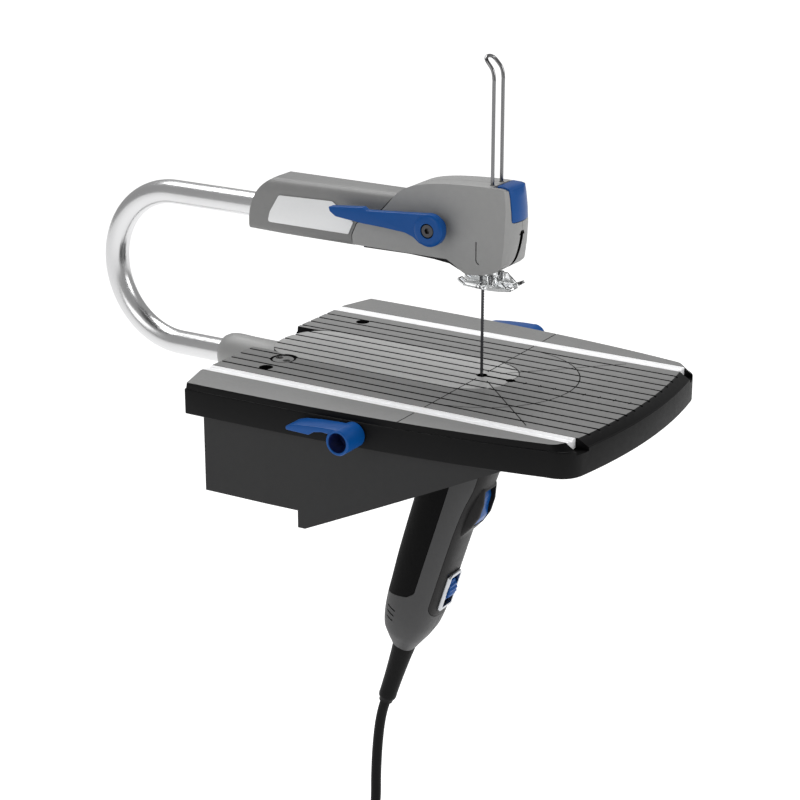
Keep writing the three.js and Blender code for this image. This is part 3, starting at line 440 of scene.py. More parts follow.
def eased(points, step=2.0):
    """A smooth curve through points, sampled about every step millimetres."""
    path = [Vector(p) for p in points]
    path = [path[0] * 2 - path[1]] + path + [path[-1] * 2 - path[-2]]
    smooth_points = []
    for i in range(1, len(path) - 2):
        before, start, end, after = path[i - 1:i + 3]
        count = max(1, round((end - start).length / step))
        for k in range(count):
            t = k / count
            smooth_points.append(0.5 * (2 * start + (end - before) * t
                                        + (2 * before - 5 * start + 4 * end - after) * t ** 2
                                        + (3 * start - before - 3 * end + after) * t ** 3))
    return smooth_points + [path[-2]]


# ---------------------------------------------------------------- materials

class Finish:
    """A procedural material that starts with one Principled shader."""

    def __init__(self, name, color, roughness, metallic=0.0):
        self.material = bpy.data.materials.new(name)
        self.material.use_nodes = True
        self.tree = self.material.node_tree
        self.shader = self.tree.nodes["Principled BSDF"]
        self.color = color
        self.set("Base Color", (*color, 1))
        self.set("Roughness", roughness)
        self.set("Metallic", metallic)

    def set(self, socket, value):
        self.shader.inputs[socket].default_value = value
        return self

    def node(self, kind, **values):
        made = self.tree.nodes.new(kind)
        for key, value in values.items():
            setattr(made, key, value)
        return made

    def link(self, source, target):
        self.tree.links.new(source, target)

    def noise(self, scale, detail=4.0, stretch=(1, 1, 1)):
        """Noise over the object's own coordinates; scale is in features per metre."""
        coordinates = self.node("ShaderNodeTexCoord")
        mapping = self.node("ShaderNodeMapping")
        mapping.inputs["Scale"].default_value = stretch
        texture = self.node("ShaderNodeTexNoise")
        texture.inputs["Scale"].default_value = scale
        texture.inputs["Detail"].default_value = detail
        self.link(coordinates.outputs["Object"], mapping.inputs["Vector"])
        self.link(mapping.outputs["Vector"], texture.inputs["Vector"])
        return texture.outputs["Fac"]

    def spread(self, value, low, high):
        """Maps a 0 to 1 value to a range."""
        ranged = self.node("ShaderNodeMapRange")
        ranged.inputs["To Min"].default_value = low
        ranged.inputs["To Max"].default_value = high
        self.link(value, ranged.inputs["Value"])
        return ranged.outputs["Result"]

    def mottle(self, scale, amount, detail=5.0):
        """Lets the colour wander a little lighter and darker."""
        mix = self.node("ShaderNodeMix", data_type="RGBA")
        mix.inputs["A"].default_value = (*[c * (1 - amount) for c in self.color], 1)
        mix.inputs["B"].default_value = (*[min(1, c * (1 + amount)) for c in self.color], 1)
        self.link(self.noise(scale, detail), mix.inputs["Factor"])
        self.link(mix.outputs["Result"], self.shader.inputs["Base Color"])
        return self

    def sheen(self, scale, low, high, stretch=(1, 1, 1)):
        """Lets the roughness wander between two values."""
        self.link(self.spread(self.noise(scale, 3, stretch), low, high),
                  self.shader.inputs["Roughness"])
        return self

    def grain(self, scale, height, detail=2.0, stretch=(1, 1, 1)):
        """A fine surface texture; height is in millimetres."""
        bump = self.node("ShaderNodeBump")
        bump.inputs["Strength"].default_value = 1
        bump.inputs["Distance"].default_value = height * MM
        self.link(self.noise(scale, detail, stretch), bump.inputs["Height"])
        self.link(bump.outputs["Normal"], self.shader.inputs["Normal"])
        return self


def plastic(name, color, roughness=0.45, texture=0.05, grain=2600, specular=0.5):
    finish = Finish(name, color, roughness)
    finish.set("Specular IOR Level", specular)
    finish.mottle(220, 0.06).sheen(300, roughness - 0.06, roughness + 0.08)
    finish.grain(grain, texture)
    return finish.material


def floor_finish():
    """Pale floor that glows white beyond the object, so that no horizon shows: painted light, with a
    painted shade under the object where the glow falls to a tenth.
    """
    finish = Finish("floor_finish", (0.5, 0.5, 0.5), 0.9)
    finish.set("Emission Color", (1, 1, 1, 1))
    place_on_floor = finish.node("ShaderNodeTexCoord")
    distance = finish.node("ShaderNodeVectorMath", operation="LENGTH")
    finish.link(place_on_floor.outputs["Object"], distance.inputs[0])
    ranged = finish.node("ShaderNodeMapRange", interpolation_type="SMOOTHSTEP")
    for socket, value in (("From Min", 0.15), ("From Max", 0.5), ("To Min", 0.1), ("To Max", 0.95)):
        ranged.inputs[socket].default_value = value
    finish.link(distance.outputs["Value"], ranged.inputs["Value"])
    # Glow grows with distance from the middle: painted shade under the object, painted light beyond it.
    finish.link(ranged.outputs["Result"], finish.shader.inputs["Emission Strength"])
    return finish.material


def table_paint():
    """Grey satin paint with a fine leathery texture, on the table's working face."""
    finish = Finish("table_paint", (0.19, 0.19, 0.188), 0.5)
    finish.mottle(60, 0.07).sheen(500, 0.4, 0.56).grain(1900, 0.09, 3)
    return finish.material


def platform_paint():
    finish = Finish("platform_paint", (0.4, 0.4, 0.395), 0.42, 0.25)
    finish.mottle(90, 0.06).sheen(700, 0.36, 0.5).grain(2300, 0.06, 3)
    return finish.material


def socket_paint():
    finish = Finish("socket_paint", (0.3, 0.3, 0.297), 0.45, 0.2)
    finish.mottle(90, 0.07).sheen(500, 0.38, 0.52).grain(1500, 0.1, 3)
    return finish.material


def tube_metal():
    """Drawn aluminium, satin, with faint lines along the tube."""
    finish = Finish("tube_metal", (0.6, 0.6, 0.605), 0.24, 1.0)
    finish.mottle(40, 0.03).sheen(900, 0.2, 0.3).grain(2600, 0.012, 2)
    return finish.material


def rail_metal():
    """Milled aluminium with lines along the rail."""
    finish = Finish("rail_metal", (0.9, 0.9, 0.91), 0.38, 0.15)
    finish.mottle(70, 0.02).sheen(600, 0.32, 0.46, (6, 0.2, 1)).grain(3000, 0.02, 2, (1, 0.03, 1))
    return finish.material


def steel(name, color=(0.62, 0.62, 0.63), roughness=0.28, texture=0.02):
    finish = Finish(name, color, roughness, 1.0)
    finish.mottle(300, 0.05).sheen(900, roughness - 0.06, roughness + 0.08).grain(3000, texture)
    return finish.material


def blue_plastic():
    finish = Finish("blue_plastic", (0.0008, 0.062, 0.25), 0.34)
    finish.set("Specular IOR Level", 0.18).set("Coat Weight", 0.06).set("Coat Roughness", 0.18)
    finish.mottle(160, 0.06).sheen(260, 0.28, 0.4).grain(1700, 0.02)
    return finish.material


# A darker blue for the lock barrel's bore: painted shade inside the hole.
def bore_shade_blue():
    finish = Finish("bore_shade_blue", (0.004, 0.012, 0.09), 0.5)
    finish.mottle(160, 0.08).grain(1700, 0.02)
    return finish.material


def clear_plastic():
    finish = Finish("clear_plastic", (0.97, 0.985, 0.99), 0.06)
    finish.set("Transmission Weight", 1.0).set("IOR", 1.49)
    finish.sheen(400, 0.03, 0.1).grain(900, 0.01)
    return finish.material


def label_foil():
    finish = Finish("label_foil", (0.74, 0.745, 0.75), 0.4, 0.25)
    finish.mottle(400, 0.02).sheen(900, 0.34, 0.46)
    return finish.material


def soft_rubber(name, color=(0.0035, 0.0035, 0.0036), roughness=0.6):
    finish = Finish(name, color, roughness)
    finish.set("Specular IOR Level", 0.05)
    finish.mottle(200, 0.12).sheen(500, roughness - 0.08, roughness + 0.1).grain(2100, 0.07, 3)
    return finish.material


def brass(name="brass_finish", color=(0.7, 0.5, 0.2)):
    finish = Finish(name, color, 0.3, 1.0)
    finish.mottle(300, 0.06).sheen(900, 0.25, 0.38).grain(2600, 0.02)
    return finish.material


def winding_copper():
    finish = Finish("winding_copper", (0.5, 0.2, 0.08), 0.35, 0.8)
    finish.mottle(500, 0.2).grain(1200, 0.15, 1, (1, 1, 0.1))
    return finish.material


def board_green():
    finish = Finish("board_green", (0.015, 0.12, 0.04), 0.35)
    finish.mottle(700, 0.25).grain(900, 0.04)
    return finish.material


FINISHES = {
    "black_plastic": plastic("black_plastic", (0.022, 0.022, 0.0225), 0.5, specular=0.2),
    "skirt_gloss": plastic("skirt_gloss", (0.003, 0.003, 0.0032), 0.35, 0.02, specular=0.12),
    "skirt_black": plastic("skirt_black", (0.008, 0.008, 0.0082), 0.48, 0.05, specular=0.07),
    # Near-black for recesses: print in the engraved marks, painted shade in grooves, holes and slots.
    "mark_and_shade_black": plastic("mark_and_shade_black", (0.003, 0.003, 0.003), 0.8, specular=0.05),
    "panel_black": plastic("panel_black", (0.007, 0.0065, 0.0067), 0.45, 0.05, specular=0.2),
    "head_grey": plastic("head_grey", (0.272, 0.272, 0.269), 0.46, 0.05),
    "sleeve_grey": plastic("sleeve_grey", (0.19, 0.19, 0.188), 0.48, 0.05),
    "handle_grey": plastic("handle_grey", (0.042, 0.042, 0.043), 0.5, 0.06, specular=0.3),
    "table_paint": table_paint(),
    "platform_paint": platform_paint(),
    "socket_paint": socket_paint(),
    "tube_metal": tube_metal(),
    "rail_metal": rail_metal(),
    "bright_steel": steel("bright_steel"),
    "dial_rim": steel("dial_rim", (0.45, 0.46, 0.48), 0.25),
    "rod_steel": steel("rod_steel", (0.2, 0.2, 0.203), 0.2, 0.008),
    "dark_steel": steel("dark_steel", (0.07, 0.07, 0.075), 0.35),
    "blue_plastic": blue_plastic(),
    "bore_shade_blue": bore_shade_blue(),
    "clear_plastic": clear_plastic(),
    "label_foil": label_foil(),
    "grip_rubber": soft_rubber("grip_rubber"),
    "cord_jacket": soft_rubber("cord_jacket", (0.008, 0.008, 0.008), 0.42),
    "brass_finish": brass(),
    "pin_nickel": brass("pin_nickel", (0.75, 0.73, 0.68)),
    "winding_copper": winding_copper(),
    "board_green": board_green(),
}


def paint_where(obj, finish, test):
    """Gives a second material to the faces whose centre and normal, in the row frame, pass."""
    obj.data.materials.append(FINISHES[finish])
    index = len(obj.data.materials) - 1
    for face in obj.data.polygons:
        if test(face.center, face.normal):
            face.material_index = index


# ---------------------------------------------------------------- mains lead

# Where the lead isn't coiled, as (y, z) round the blade in metres.
DROP_ROUTE = [
    (0.0702, -0.2413), (0.0718, -0.2465), (0.0734, -0.253), (0.0748, -0.261), (0.0759, -0.27),
    (0.0768, -0.28), (0.0775, -0.292), (0.0779, -0.304), (0.078, -0.314),
]
TAIL_ROUTE = [(0.125, -0.413), (0.125, -0.422), (0.1248, -0.431), (0.1245, -0.440)]

# The turns' places in the bundle, in order, as (outward, sideways) in cord diameters.
ROW = math.sqrt(3) / 2
BUNDLE = [(0.5, ROW), (-0.5, ROW), (-1, 0), (-0.5, -ROW), (0, 0), (0.5, -ROW), (1, 0)]


def coil_points():
    """Turns of the coil from where the lead comes in over the top to where it leaves behind."""
    start, shift_from, shift_to = 62, 160, 75
    points = []
    angle = start
    last = -360 * (len(BUNDLE) - 1)
    while angle >= last:
        turn = math.floor((shift_from - angle) / 360)
        since = shift_from - angle - 360 * turn
        place_now, place_before = BUNDLE[max(turn, 0)], BUNDLE[max(turn - 1, 0)]
        share = min(since / (shift_from - shift_to), 1)
        share = share * share * (3 - 2 * share)
        out = (place_before[0] + (place_now[0] - place_before[0]) * share) * 2 * CORD_RADIUS
        side = (place_before[1] + (place_now[1] - place_before[1]) * share) * 2 * CORD_RADIUS
        reach, turn_angle = COIL_RADIUS + out, math.radians(angle)
        points.append((side, COIL_CENTRE[0] + reach * math.cos(turn_angle),
                       COIL_CENTRE[1] + reach * math.sin(turn_angle)))
        angle -= 10
    return points


def lead_points():
    in_plane = [(0, y / MM, z / MM) for y, z in DROP_ROUTE]
    tail = [(0, y / MM, z / MM) for y, z in TAIL_ROUTE]
    entry = [(0.4, 78.8, -321.6), (1.6, 81, -328.5), (3, 84.3, -334.7), (4.5, 88.5, -339.9),
             (5.6, 93.3, -344.3)]
    return eased(in_plane + entry + coil_points() + [(0, 125, -400)] + tail, 2.5)


def add_lead():
    curve = bpy.data.curves.new("mains_lead", "CURVE")
    curve.dimensions = "3D"
    curve.bevel_depth = CORD_RADIUS * MM
    curve.bevel_resolution = 5
    curve.use_fill_caps = True
    route = [BLADE @ Vector(p) for p in lead_points()]
    spline = curve.splines.new("POLY")
    spline.points.add(len(route) - 1)
    spline.points.foreach_set("co", [value for p in route for value in (*p, 1)])
    spline.use_smooth = True
    lead = bpy.data.objects.new("mains_lead", curve)
    bpy.context.collection.objects.link(lead)
    curve.materials.append(FINISHES["cord_jacket"])
    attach(lead, "base")
    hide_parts("cord_drop", "cord_coil", "cord_tail")
    pieces = [add_tie(), add_plug(), *add_plug_pins()]


def add_tie():
    """Moulded strap round the bundle, with a raised buckle on its outer side."""
    turn = Matrix.Translation(middle("cord_tie")) @ Matrix.Rotation(math.radians(40), 4, "X")
    matrix = turn @ Matrix.Scale(MM, 4)
    strap = turned("cord_strap", [(11.2, -3.8), (12.3, -4), (12.5, -3.6), (12.5, 3.6), (12.3, 4),
                                  (11.2, 3.8)], "Y", matrix=matrix)
    buckle = prism("buckle", rounded([(-4, -3.4, 1), (4, -3.4, 1), (4, 3.4, 1), (-4, 3.4, 1)]),
                   11.6, 13.4, "Z", matrix)
    join(strap, buckle)
    soften(strap, 0.25)
    return place(strap, "base", ["cord_tie"], FINISHES["black_plastic"])


def plug_ring(half_x, half_y, z, count=48):
    ring = []
    for i in range(count):
        angle = 2 * math.pi * i / count
        c, s = math.cos(angle), math.sin(angle)
        ring.append((half_x * math.copysign(abs(c) ** 0.62, c),
                     half_y * math.copysign(abs(s) ** 0.62, s), z))
    return ring


def add_plug():
    """Moulded two-pin plug with a ribbed neck."""
    y, z = TAIL_ROUTE[-1][0] / MM, TAIL_ROUTE[-1][1] / MM - GAP
    rings = []
    for i in range(7):
        rings.append(plug_ring(5.0 + 0.18 * i, 4.9, -1.9 * i))
        rings.append(plug_ring(4.3 + 0.18 * i, 4.2, -1.9 * i - 0.9))
    rings += [plug_ring(7.2, 5.6, -14), plug_ring(12.6, 6.4, -16.4), plug_ring(15.2, 6.8, -19.4),
              plug_ring(16.2, 6.85, -26), plug_ring(17.2, 6.9, -38.4), plug_ring(16.6, 6.3, -40)]
    matrix = BLADE @ Matrix.Translation((0, y, z))
    plug = skin("mains_plug", rings, matrix)
    soften(plug, 0.2, 2, 30)
    return place(plug, "base", ["plug_body"], FINISHES["cord_jacket"], 50)


def add_plug_pins():
    pins = []
    for side in ("left", "right"):
        node = f"{side}_plug_pin"
        low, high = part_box(node)
        half = (high[2] - low[2]) / 2 / MM
        matrix = Matrix.Translation(middle(node)) @ Matrix.Scale(MM, 4)
        profile = [(0, -half), (1.3, -half), (1.9, 1 - half), (2, 1.8 - half), (2, half), (0, half)]
        pin = turned(f"{side}_pin", profile, matrix=matrix)
        pins.append(place(pin, "base", [node], FINISHES["pin_nickel"]))
    return pins


# ---------------------------------------------------------------- table and base

def table_outline(inset=0, front_inset=None):
    """The table from above: curved sides, rounded front corners, a bowed front edge."""
    rear = TABLE_REAR - inset
    front = TABLE_FRONT + (inset if front_inset is None else front_inset)
    half_rear, half_front = TABLE_HALF_REAR - inset, TABLE_HALF_FRONT - inset
    corner = TABLE_HALF_FRONT - 13 - inset * 0.5
    shape = Outline((-82, rear), 16).line((82, rear), (half_rear, rear - 7))
    shape.curve((half_rear, 2), (half_front, -90)).curve((half_front - 0.5, front + 3), (corner, front))
    shape.curve((0, front - TABLE_BULGE), (-corner, front))
    shape.curve((0.5 - half_front, front + 3), (-half_front, -90))
    shape.curve((-half_rear, 2), (-half_rear, rear - 7))
    return shape.points


def add_nose(shape, grow):
    """The nose end of the platform, or of the slot round it."""
    half, nose = PLATFORM_HALF + grow, PLATFORM_NOSE - grow
    shape.line((half, 4)).curve((half - 4, nose + 5), (10, nose)).line((-10, nose))
    shape.curve((-half + 4, nose + 5), (-half, 4))


def platform_outline():
    """The platform ends at the rear in a flat arch."""
    half, rear = PLATFORM_HALF, PLATFORM_REAR
    shape = Outline((0, rear), 14).cubic((half - 12, rear - 0.5), (half, rear - 9), (half, rear - 26))
    add_nose(shape, 0)
    shape.line((-half, rear - 26)).cubic((-half, rear - 9), (12 - half, rear - 0.5), (0, rear))
    return shape.points[:-1]


def slot_outline():
    """The slot narrows behind the platform."""
    half, narrow, rear = PLATFORM_HALF + 0.5, SLOT_REAR_HALF, PLATFORM_REAR
    shape = Outline((-narrow, 175), 10).line((narrow, 175), (narrow, rear - 4))
    shape.curve((narrow, rear - 14), (half, rear - 20))
    add_nose(shape, 0.5)
    shape.line((-half, rear - 20)).curve((-narrow, rear - 14), (-narrow, rear - 4))
    return shape.points


def groove(x, y0, y1):
    """Cutter for a shallow groove along Y with slightly broken upper edges."""
    half = GROOVE_WIDTH / 2
    section = [(x - half, -GROOVE_DEPTH), (x + half, -GROOVE_DEPTH), (x + half, -0.15),
               (x + half + 0.2, 0.05), (x + half + 0.2, 1), (x - half - 0.2, 1),
               (x - half - 0.2, 0.05), (x - half, -0.15)]
    return prism("groove", section, y0, y1, "Y")


def straight_mark(start, end, width=MARK_WIDTH, depth=MARK_DEPTH):
    """Cutter for a fine engraved line between two points of the table top."""
    start, end = Vector(start), Vector(end)
    across = Vector((-(end - start).y, (end - start).x)).normalized() * width / 2
    corners = [start - across, end - across, end + across, start + across]
    return prism("mark", corners, -depth, 1)


def arc_mark(radius, first, last):
    """Cutter for a fine engraved arc about the blade, between two angles in degrees."""
    count = 72
    rays = [(math.cos(a), math.sin(a))
            for a in (math.radians(first + (last - first) * i / count) for i in range(count + 1))]
    outer = [(c * (radius + MARK_WIDTH / 2), s * (radius + MARK_WIDTH / 2)) for c, s in rays]
    inner = [(c * (radius - MARK_WIDTH / 2), s * (radius - MARK_WIDTH / 2)) for c, s in rays[::-1]]
    return prism("arc", outer + inner, -MARK_DEPTH, 1)


def guide_marks():
    """Cross line, two lines at 45 degrees, a circle round the blade and ticks in front of it."""
    marks = [arc_mark(MARK_CIRCLE, -184, 4)]
    for side in (-1, 1):
        marks.append(straight_mark((side * 21, 0), (side * 101, 0)))
        marks.append(straight_mark((side * 15, -15), (side * 66, -66)))
    for y in range(-100, -25, 10):
        marks.append(straight_mark((-1.9, y), (1.9, y)))
    return marks


def keyhole():
    half = KERF / 2
    slot = [(-half, PLATFORM_NOSE), (half, PLATFORM_NOSE), (half, 0), (-half, 0)]
    return [bar(3.4, -25, 1), prism("kerf", slot, -25, 1), bar(3, -25, 1, centre=(0, PLATFORM_NOSE, 0))]


def table_form():
    """Skirt, and the slightly smaller top with its sloping front rim."""
    skirt = prism("table_casting", table_outline(), -SKIRT_DEPTH, -EDGE_STEP)
    soften(skirt, 0.8, 3, 50)
    rings = [[(*p, z) for p in table_outline(inset, front)] for inset, front, z in
             ((0.8, 0.8, -EDGE_STEP - 0.6), (0.8, 0.8, -EDGE_STEP), (1.2, FRONT_SLOPE, 0))]
    return join(skirt, soften(skin("plate", rings), 0.4, 3, 50))


def add_table():
    table = table_form()
    pocket = prism("pocket", table_outline(SKIRT_WALL), -SKIRT_DEPTH - 1, -TABLE_PLATE)
    cutters = [prism("slot", slot_outline(), -SKIRT_DEPTH - 1, 1),
               bar(PLUG_RADIUS + GAP, -3.3, 1, centre=(*PLUG_AT, 0))]
    for side in (-1, 1):
        low, high = sorted((side * RAIL_X - 8, side * RAIL_X + 8))
        cut(pocket, box(low, high, -130, 170, -9.5, 0))
        low, high = sorted((side * RAIL_X - 5.1, side * RAIL_X + 5.1))
        cutters.append(box(low, high, -130, 170, -RAIL_DEPTH - GAP, 1))
        cutters.append(bar(4.4, -12, 1, centre=(side * 56, 122, 0)))
        low, high = sorted((side * 96, side * 112))
        cutters.append(bar(3.9, low, high, "X", (0, *LOCK_AXIS)))
        for n in (3, 4, 5, 6):
            cutters.append(groove(side * n * GROOVE_PITCH, TABLE_FRONT - 4, TABLE_REAR + 6))
    for n in (-2, -1, 0, 1, 2):
        cutters.append(groove(n * GROOVE_PITCH, TABLE_FRONT - 4, PLATFORM_NOSE + 4))
    cut(table, pocket, *cutters, *keyhole(), *guide_marks())
    place(table, "base", ["table_top"], FINISHES["skirt_black"])
    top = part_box("table_top")[1][2]
    step = top - (EDGE_STEP + 0.7) * MM
    paint_where(table, "skirt_gloss", lambda c, n: c.z > step)
    paint_engraved(table, "table_paint", top)


def paint_engraved(obj, finish, top):
    """Paints the top and its broken edges, and blackens the bottoms of what is cut into it: print in the
    guide marks, painted shade in the grooves, the kerf and the keyhole.
    """
    paint_where(obj, finish, lambda c, n: n.z > 0.3 and c.z > top - 0.6 * MM)
    # Near-black floors of marks and grooves, and near-black walls of the kerf and keyhole: print in the
    # marks, painted shade in the rest.
    paint_where(obj, "mark_and_shade_black", lambda c, n: (n.z > 0.97 and c.z < top - 0.1 * MM)
                or (abs(n.z) < 0.1 and abs(c.x) < 4 * MM))


def add_platform():
    plate = prism("platform_plate", platform_outline(), -PLATFORM_DEPTH, 0)
    soften(plate, 0.5, 3, 50)
    grooves = [groove(n * GROOVE_PITCH, PLATFORM_NOSE - 2, PLATFORM_REAR + 2) for n in (-2, -1, 0, 1, 2)]
    marks = []
    for side in (-1, 1):
        marks.append(straight_mark((side * 7, 0), (side * 40, 0)))
        marks.append(straight_mark((side * 8, -8), (side * 30, -30)))
    seat = bar(PLUG_RADIUS + 1.6, -9, 1, centre=(*PLUG_AT, 0))
    cut(plate, *keyhole(), seat, *grooves, *marks)
    # Everything but the top keeps the near-black skirt plastic: painted shade on the keyhole's walls and
    # on the walls in the slot round the platform.
    place(plate, "base", ["platform"], FINISHES["skirt_black"])
    paint_engraved(plate, "platform_paint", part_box("platform")[1][2])


def add_table_plug():
    """Round plug with two crescent finger hollows; its step rim and the hollows' floors are painted
    near-black, a painted shade in the gap round the plug and in the hollows.
    """
    x, y = PLUG_AT
    rim = PLUG_RADIUS
    plug = turned("plug_disc", [(0, -3), (rim, -3), (rim, -1.2), (rim - 1.2, -1.2), (rim - 1.3, -0.3),
                                (rim - 1.6, -0.2), (0, -0.2)], centre=(x, y, 0))
    for side in (-1, 1):
        cut(plug, bar(2.4, -1.2, 1, centre=(x + side * 1.4, y + side * 3.6, 0)))
    place(plug, "base", ["table_plug"], FINISHES["table_paint"])
    # Faces below the plug's top are painted near-black: painted shade in the gap round the plug and in the
    # finger hollows.
    paint_where(plug, "mark_and_shade_black", lambda c, n: c.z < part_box("table_plug")[1][2] - 0.5 * MM)


def add_rail(side, name):
    """Fence rail with a shallow channel along its middle."""
    half = RAIL_WIDTH / 2
    section = rounded([(-half, -RAIL_DEPTH, 0), (half, -RAIL_DEPTH, 0), (half, 0, 0.3), (1.9, 0, 0.2),
                       (1.2, -0.8, 0.2), (-1.2, -0.8, 0.2), (-1.9, 0, 0.2), (-half, 0, 0.3)], 3)
    rail = prism(f"{name}_rail", [(p.x + side * RAIL_X, p.y) for p in section], RAIL_FRONT, RAIL_REAR, "Y")
    place(rail, "base", [f"{name}_fence_rail"], FINISHES["rail_metal"])


def keep_node(node, finish, width=0.5, segments=3):
    """Keeps a CAD solid's shape, with its edges broken and a finish."""
    obj = frame["nodes"][node]
    flat = obj.modifiers.new("flat", "DECIMATE")
    flat.decimate_type = "DISSOLVE"
    flat.angle_limit = math.radians(1.5)
    modifier = obj.modifiers.new("bevel", "BEVEL")
    modifier.width = width * MM
    modifier.segments = segments
    modifier.limit_method = "ANGLE"
    modifier.angle_limit = math.radians(35)
    modifier.harden_normals = True
    obj.data.materials.clear()
    obj.data.materials.append(FINISHES[finish])


def lock_lever(side, name):
    """Hollow barrel with a flat thumb arm to the rear."""
    length = LOCK_LENGTH
    barrel = turned("barrel", [(3.9, 0), (7.2, 0), (7.7, 0.5), (7.7, length - 0.5), (7.3, length),
                               (6.3, length), (6, length - 0.4), (6, 6), (3.9, 6)], "X")
    arm = prism("arm", rounded([
        (0, 7.7, 0), (8, 7.6, 3), (20, 6.9, 10), (30, 5.8, 5), (36, 3.9, 1.6), (36, 1.6, 0.8),
        (20, 1.2, 1.5), (17, 3.4, 2), (11, 4.6, 2), (7, 4.2, 2), (4, 5.2, 0), (0, 6.7, 0)], 5),
        4, length - 0.4, "X")
    soften(arm, 0.9, 3, 45)
    join(barrel, arm)
    at_side = Matrix.Diagonal((side, 1, 1, 1)) @ Matrix.Translation((LOCK_INNER, *LOCK_AXIS))
    barrel.data.transform(BLADE @ at_side @ BLADE.inverted())
    if side < 0:
        barrel.data.flip_normals()
    barrel.name = f"{name}_thumb_lever"
    place(barrel, f"{name}_lock", [f"{name}_lock_lever"], FINISHES["blue_plastic"])
    axis = BLADE @ Vector((0, *LOCK_AXIS))
    outer = (LOCK_INNER + length - 0.7) * MM

    def inside(centre, _normal):
        away = math.hypot(centre.y - axis.y, centre.z - axis.z)
        return away < 6.1 * MM and abs(centre.x) < outer

    # The bore's walls get the darker blue: painted shade inside the hollow barrel.
    paint_where(barrel, "bore_shade_blue", inside)


# ---------------------------------------------------------------- saw frame

def super_ring(y, half, low, high, squareness, count=64):
    ring = []
    for i in range(count):
        angle = 2 * math.pi * i / count
        c, s = math.cos(angle), math.sin(angle)
        ring.append((half * math.copysign(abs(c) ** (2 / squareness), c), y,
                     (low + high) / 2 + (high - low) / 2 * math.copysign(abs(s) ** (2 / squareness), s)))
    return ring


def between(stations, count):
    """Evenly spaced stations, eased through the given ones, whose first value is their place."""
    eased_points = []
    for k in range(count + 1):
        at = stations[0][0] + (stations[-1][0] - stations[0][0]) * k / count
        i = max(j for j in range(len(stations) - 1) if stations[j][0] <= at + 1e-9)
        window = [stations[max(i - 1, 0)], stations[i], stations[i + 1],
                  stations[min(i + 2, len(stations) - 1)]]
        t = (at - window[1][0]) / (window[2][0] - window[1][0])
        values = []
        for before, start, end, after in zip(*[w[1:] for w in window]):
            slope_in = (end - before) / 2
            slope_out = (after - start) / 2
            values.append(start * (2 * t ** 3 - 3 * t ** 2 + 1) + slope_in * (t ** 3 - 2 * t ** 2 + t)
                          + end * (3 * t ** 2 - 2 * t ** 3) + slope_out * (t ** 3 - t ** 2))
        eased_points.append((at, *values))
    return eased_points


def add_socket():
    seat = -PLATFORM_DEPTH - GAP
    stations = [(PLATFORM_REAR + 2.5, 15.5, -26, -5.2, 3), (PLATFORM_REAR + 7, 14, -29.6, -4.4, 2.2),
                (172, 13.4, -30.4, -3.9, 2), (184, 13.4, -30.3, -3.5, 2), (189.5, 12.8, -29.7, -4.1, 2),
                (192.5, 11.4, -28.3, -5.5, 2)]
    rings = [super_ring(118, 19, -19.5, seat, 5), super_ring(PLATFORM_REAR + GAP, 19, -19.5, seat, 5)]
    rings += [super_ring(*station) for station in between(stations, 30)]
    socket = skin("tube_holder", rings)
    cut(socket, bar(TUBE_RADIUS + GAP, 155, 210, "Y", (0, 0, TUBE_LOW_Z), 64))
    place(socket, "base", ["tube_socket"], FINISHES["socket_paint"], 45)


def tube_path():
    radius = (TUBE_HIGH_Z - TUBE_LOW_Z) / 2
    centre = (TUBE_HIGH_Z + TUBE_LOW_Z) / 2
    path = [(0, 156, TUBE_LOW_Z), (0, 195, TUBE_LOW_Z)]
    for i in range(57):
        angle = -math.pi / 2 + math.pi * i / 56
        path.append((0, TUBE_BEND_Y + radius * math.cos(angle), centre + radius * math.sin(angle)))
    return path + [(0, 170, TUBE_HIGH_Z), (0, 112, TUBE_HIGH_Z)]


def add_tube():
    """Round tube, hollow, as one skin out along its outside and back along its bore."""
    path = tube_path()
    rings = tube_rings(path, TUBE_RADIUS, 48) + tube_rings(path, TUBE_BORE, 48)[::-1]
    count, total = 48, len(rings)
    points = [p for ring in rings for p in ring]
    faces = []
    for r in range(total):
        for i in range(count):
            j, following = (i + 1) % count, (r + 1) % total
            faces.append((r * count + i, r * count + j, following * count + j, following * count + i))
    tube = mesh_object("bent_tube", points, faces)
    place(tube, "base", ["frame_tube"], FINISHES["tube_metal"], 50)


SEAM = [(54.8, 108.6), (63, 99.3), (81.4, 88.1), (84.8, 80.6), (84.5, 74)]


def seam_line():
    """The seam from top to bottom with its corners rounded, for the head and the sleeve alike."""
    return rounded([(*p, 3 if 0 < i < 4 else 0) for i, p in enumerate(SEAM)], 5)


def add_sleeve():
    side = Outline((SEAM[0][0] + 0.5, SEAM[0][1] + 1), 14)
    side.points += [Vector((p.x + 0.5, p.y)) for p in seam_line()]
    side.line((SEAM[4][0] + 0.5, 72), (162.5, 74.5), (162.3, 82)).curve((160.5, 101), (143, 109.5))
    sleeve = prism("arm_cover", side.points, -20, 20, "X")
    section = rounded([(-ARM_HALF, 73, 5), (ARM_HALF, 73, 5), (ARM_HALF, 109, 9), (-ARM_HALF, 109, 9)], 8)
    common(sleeve, prism("section", section, 50, 175, "Y"))
    soften(sleeve, 0.8, 3, 40)
    cut(sleeve, bar(TUBE_RADIUS + GAP, 110, 190, "Y", (0, 0, TUBE_HIGH_Z), 64))
    place(sleeve, "base", ["arm_sleeve"], FINISHES["sleeve_grey"])


def add_label():
    """Blank foil plate on the sleeve's left side, with softened edges."""
    corners = [(147.6, 80.5, 2), (145.7, 87.4, 6), (138.7, 98.6, 2.5), (98.8, 99.8, 2),
               (83.4, 88.6, 0.8), (87.2, 80.5, 0.8)]
    plate = prism("arm_plate", rounded(corners, 6), -ARM_HALF - 1.0, -ARM_HALF - GAP, "X")
    soften(plate, 0.3, 2, 45)
    place(plate, "base", ["label_plate"], FINISHES["label_foil"])


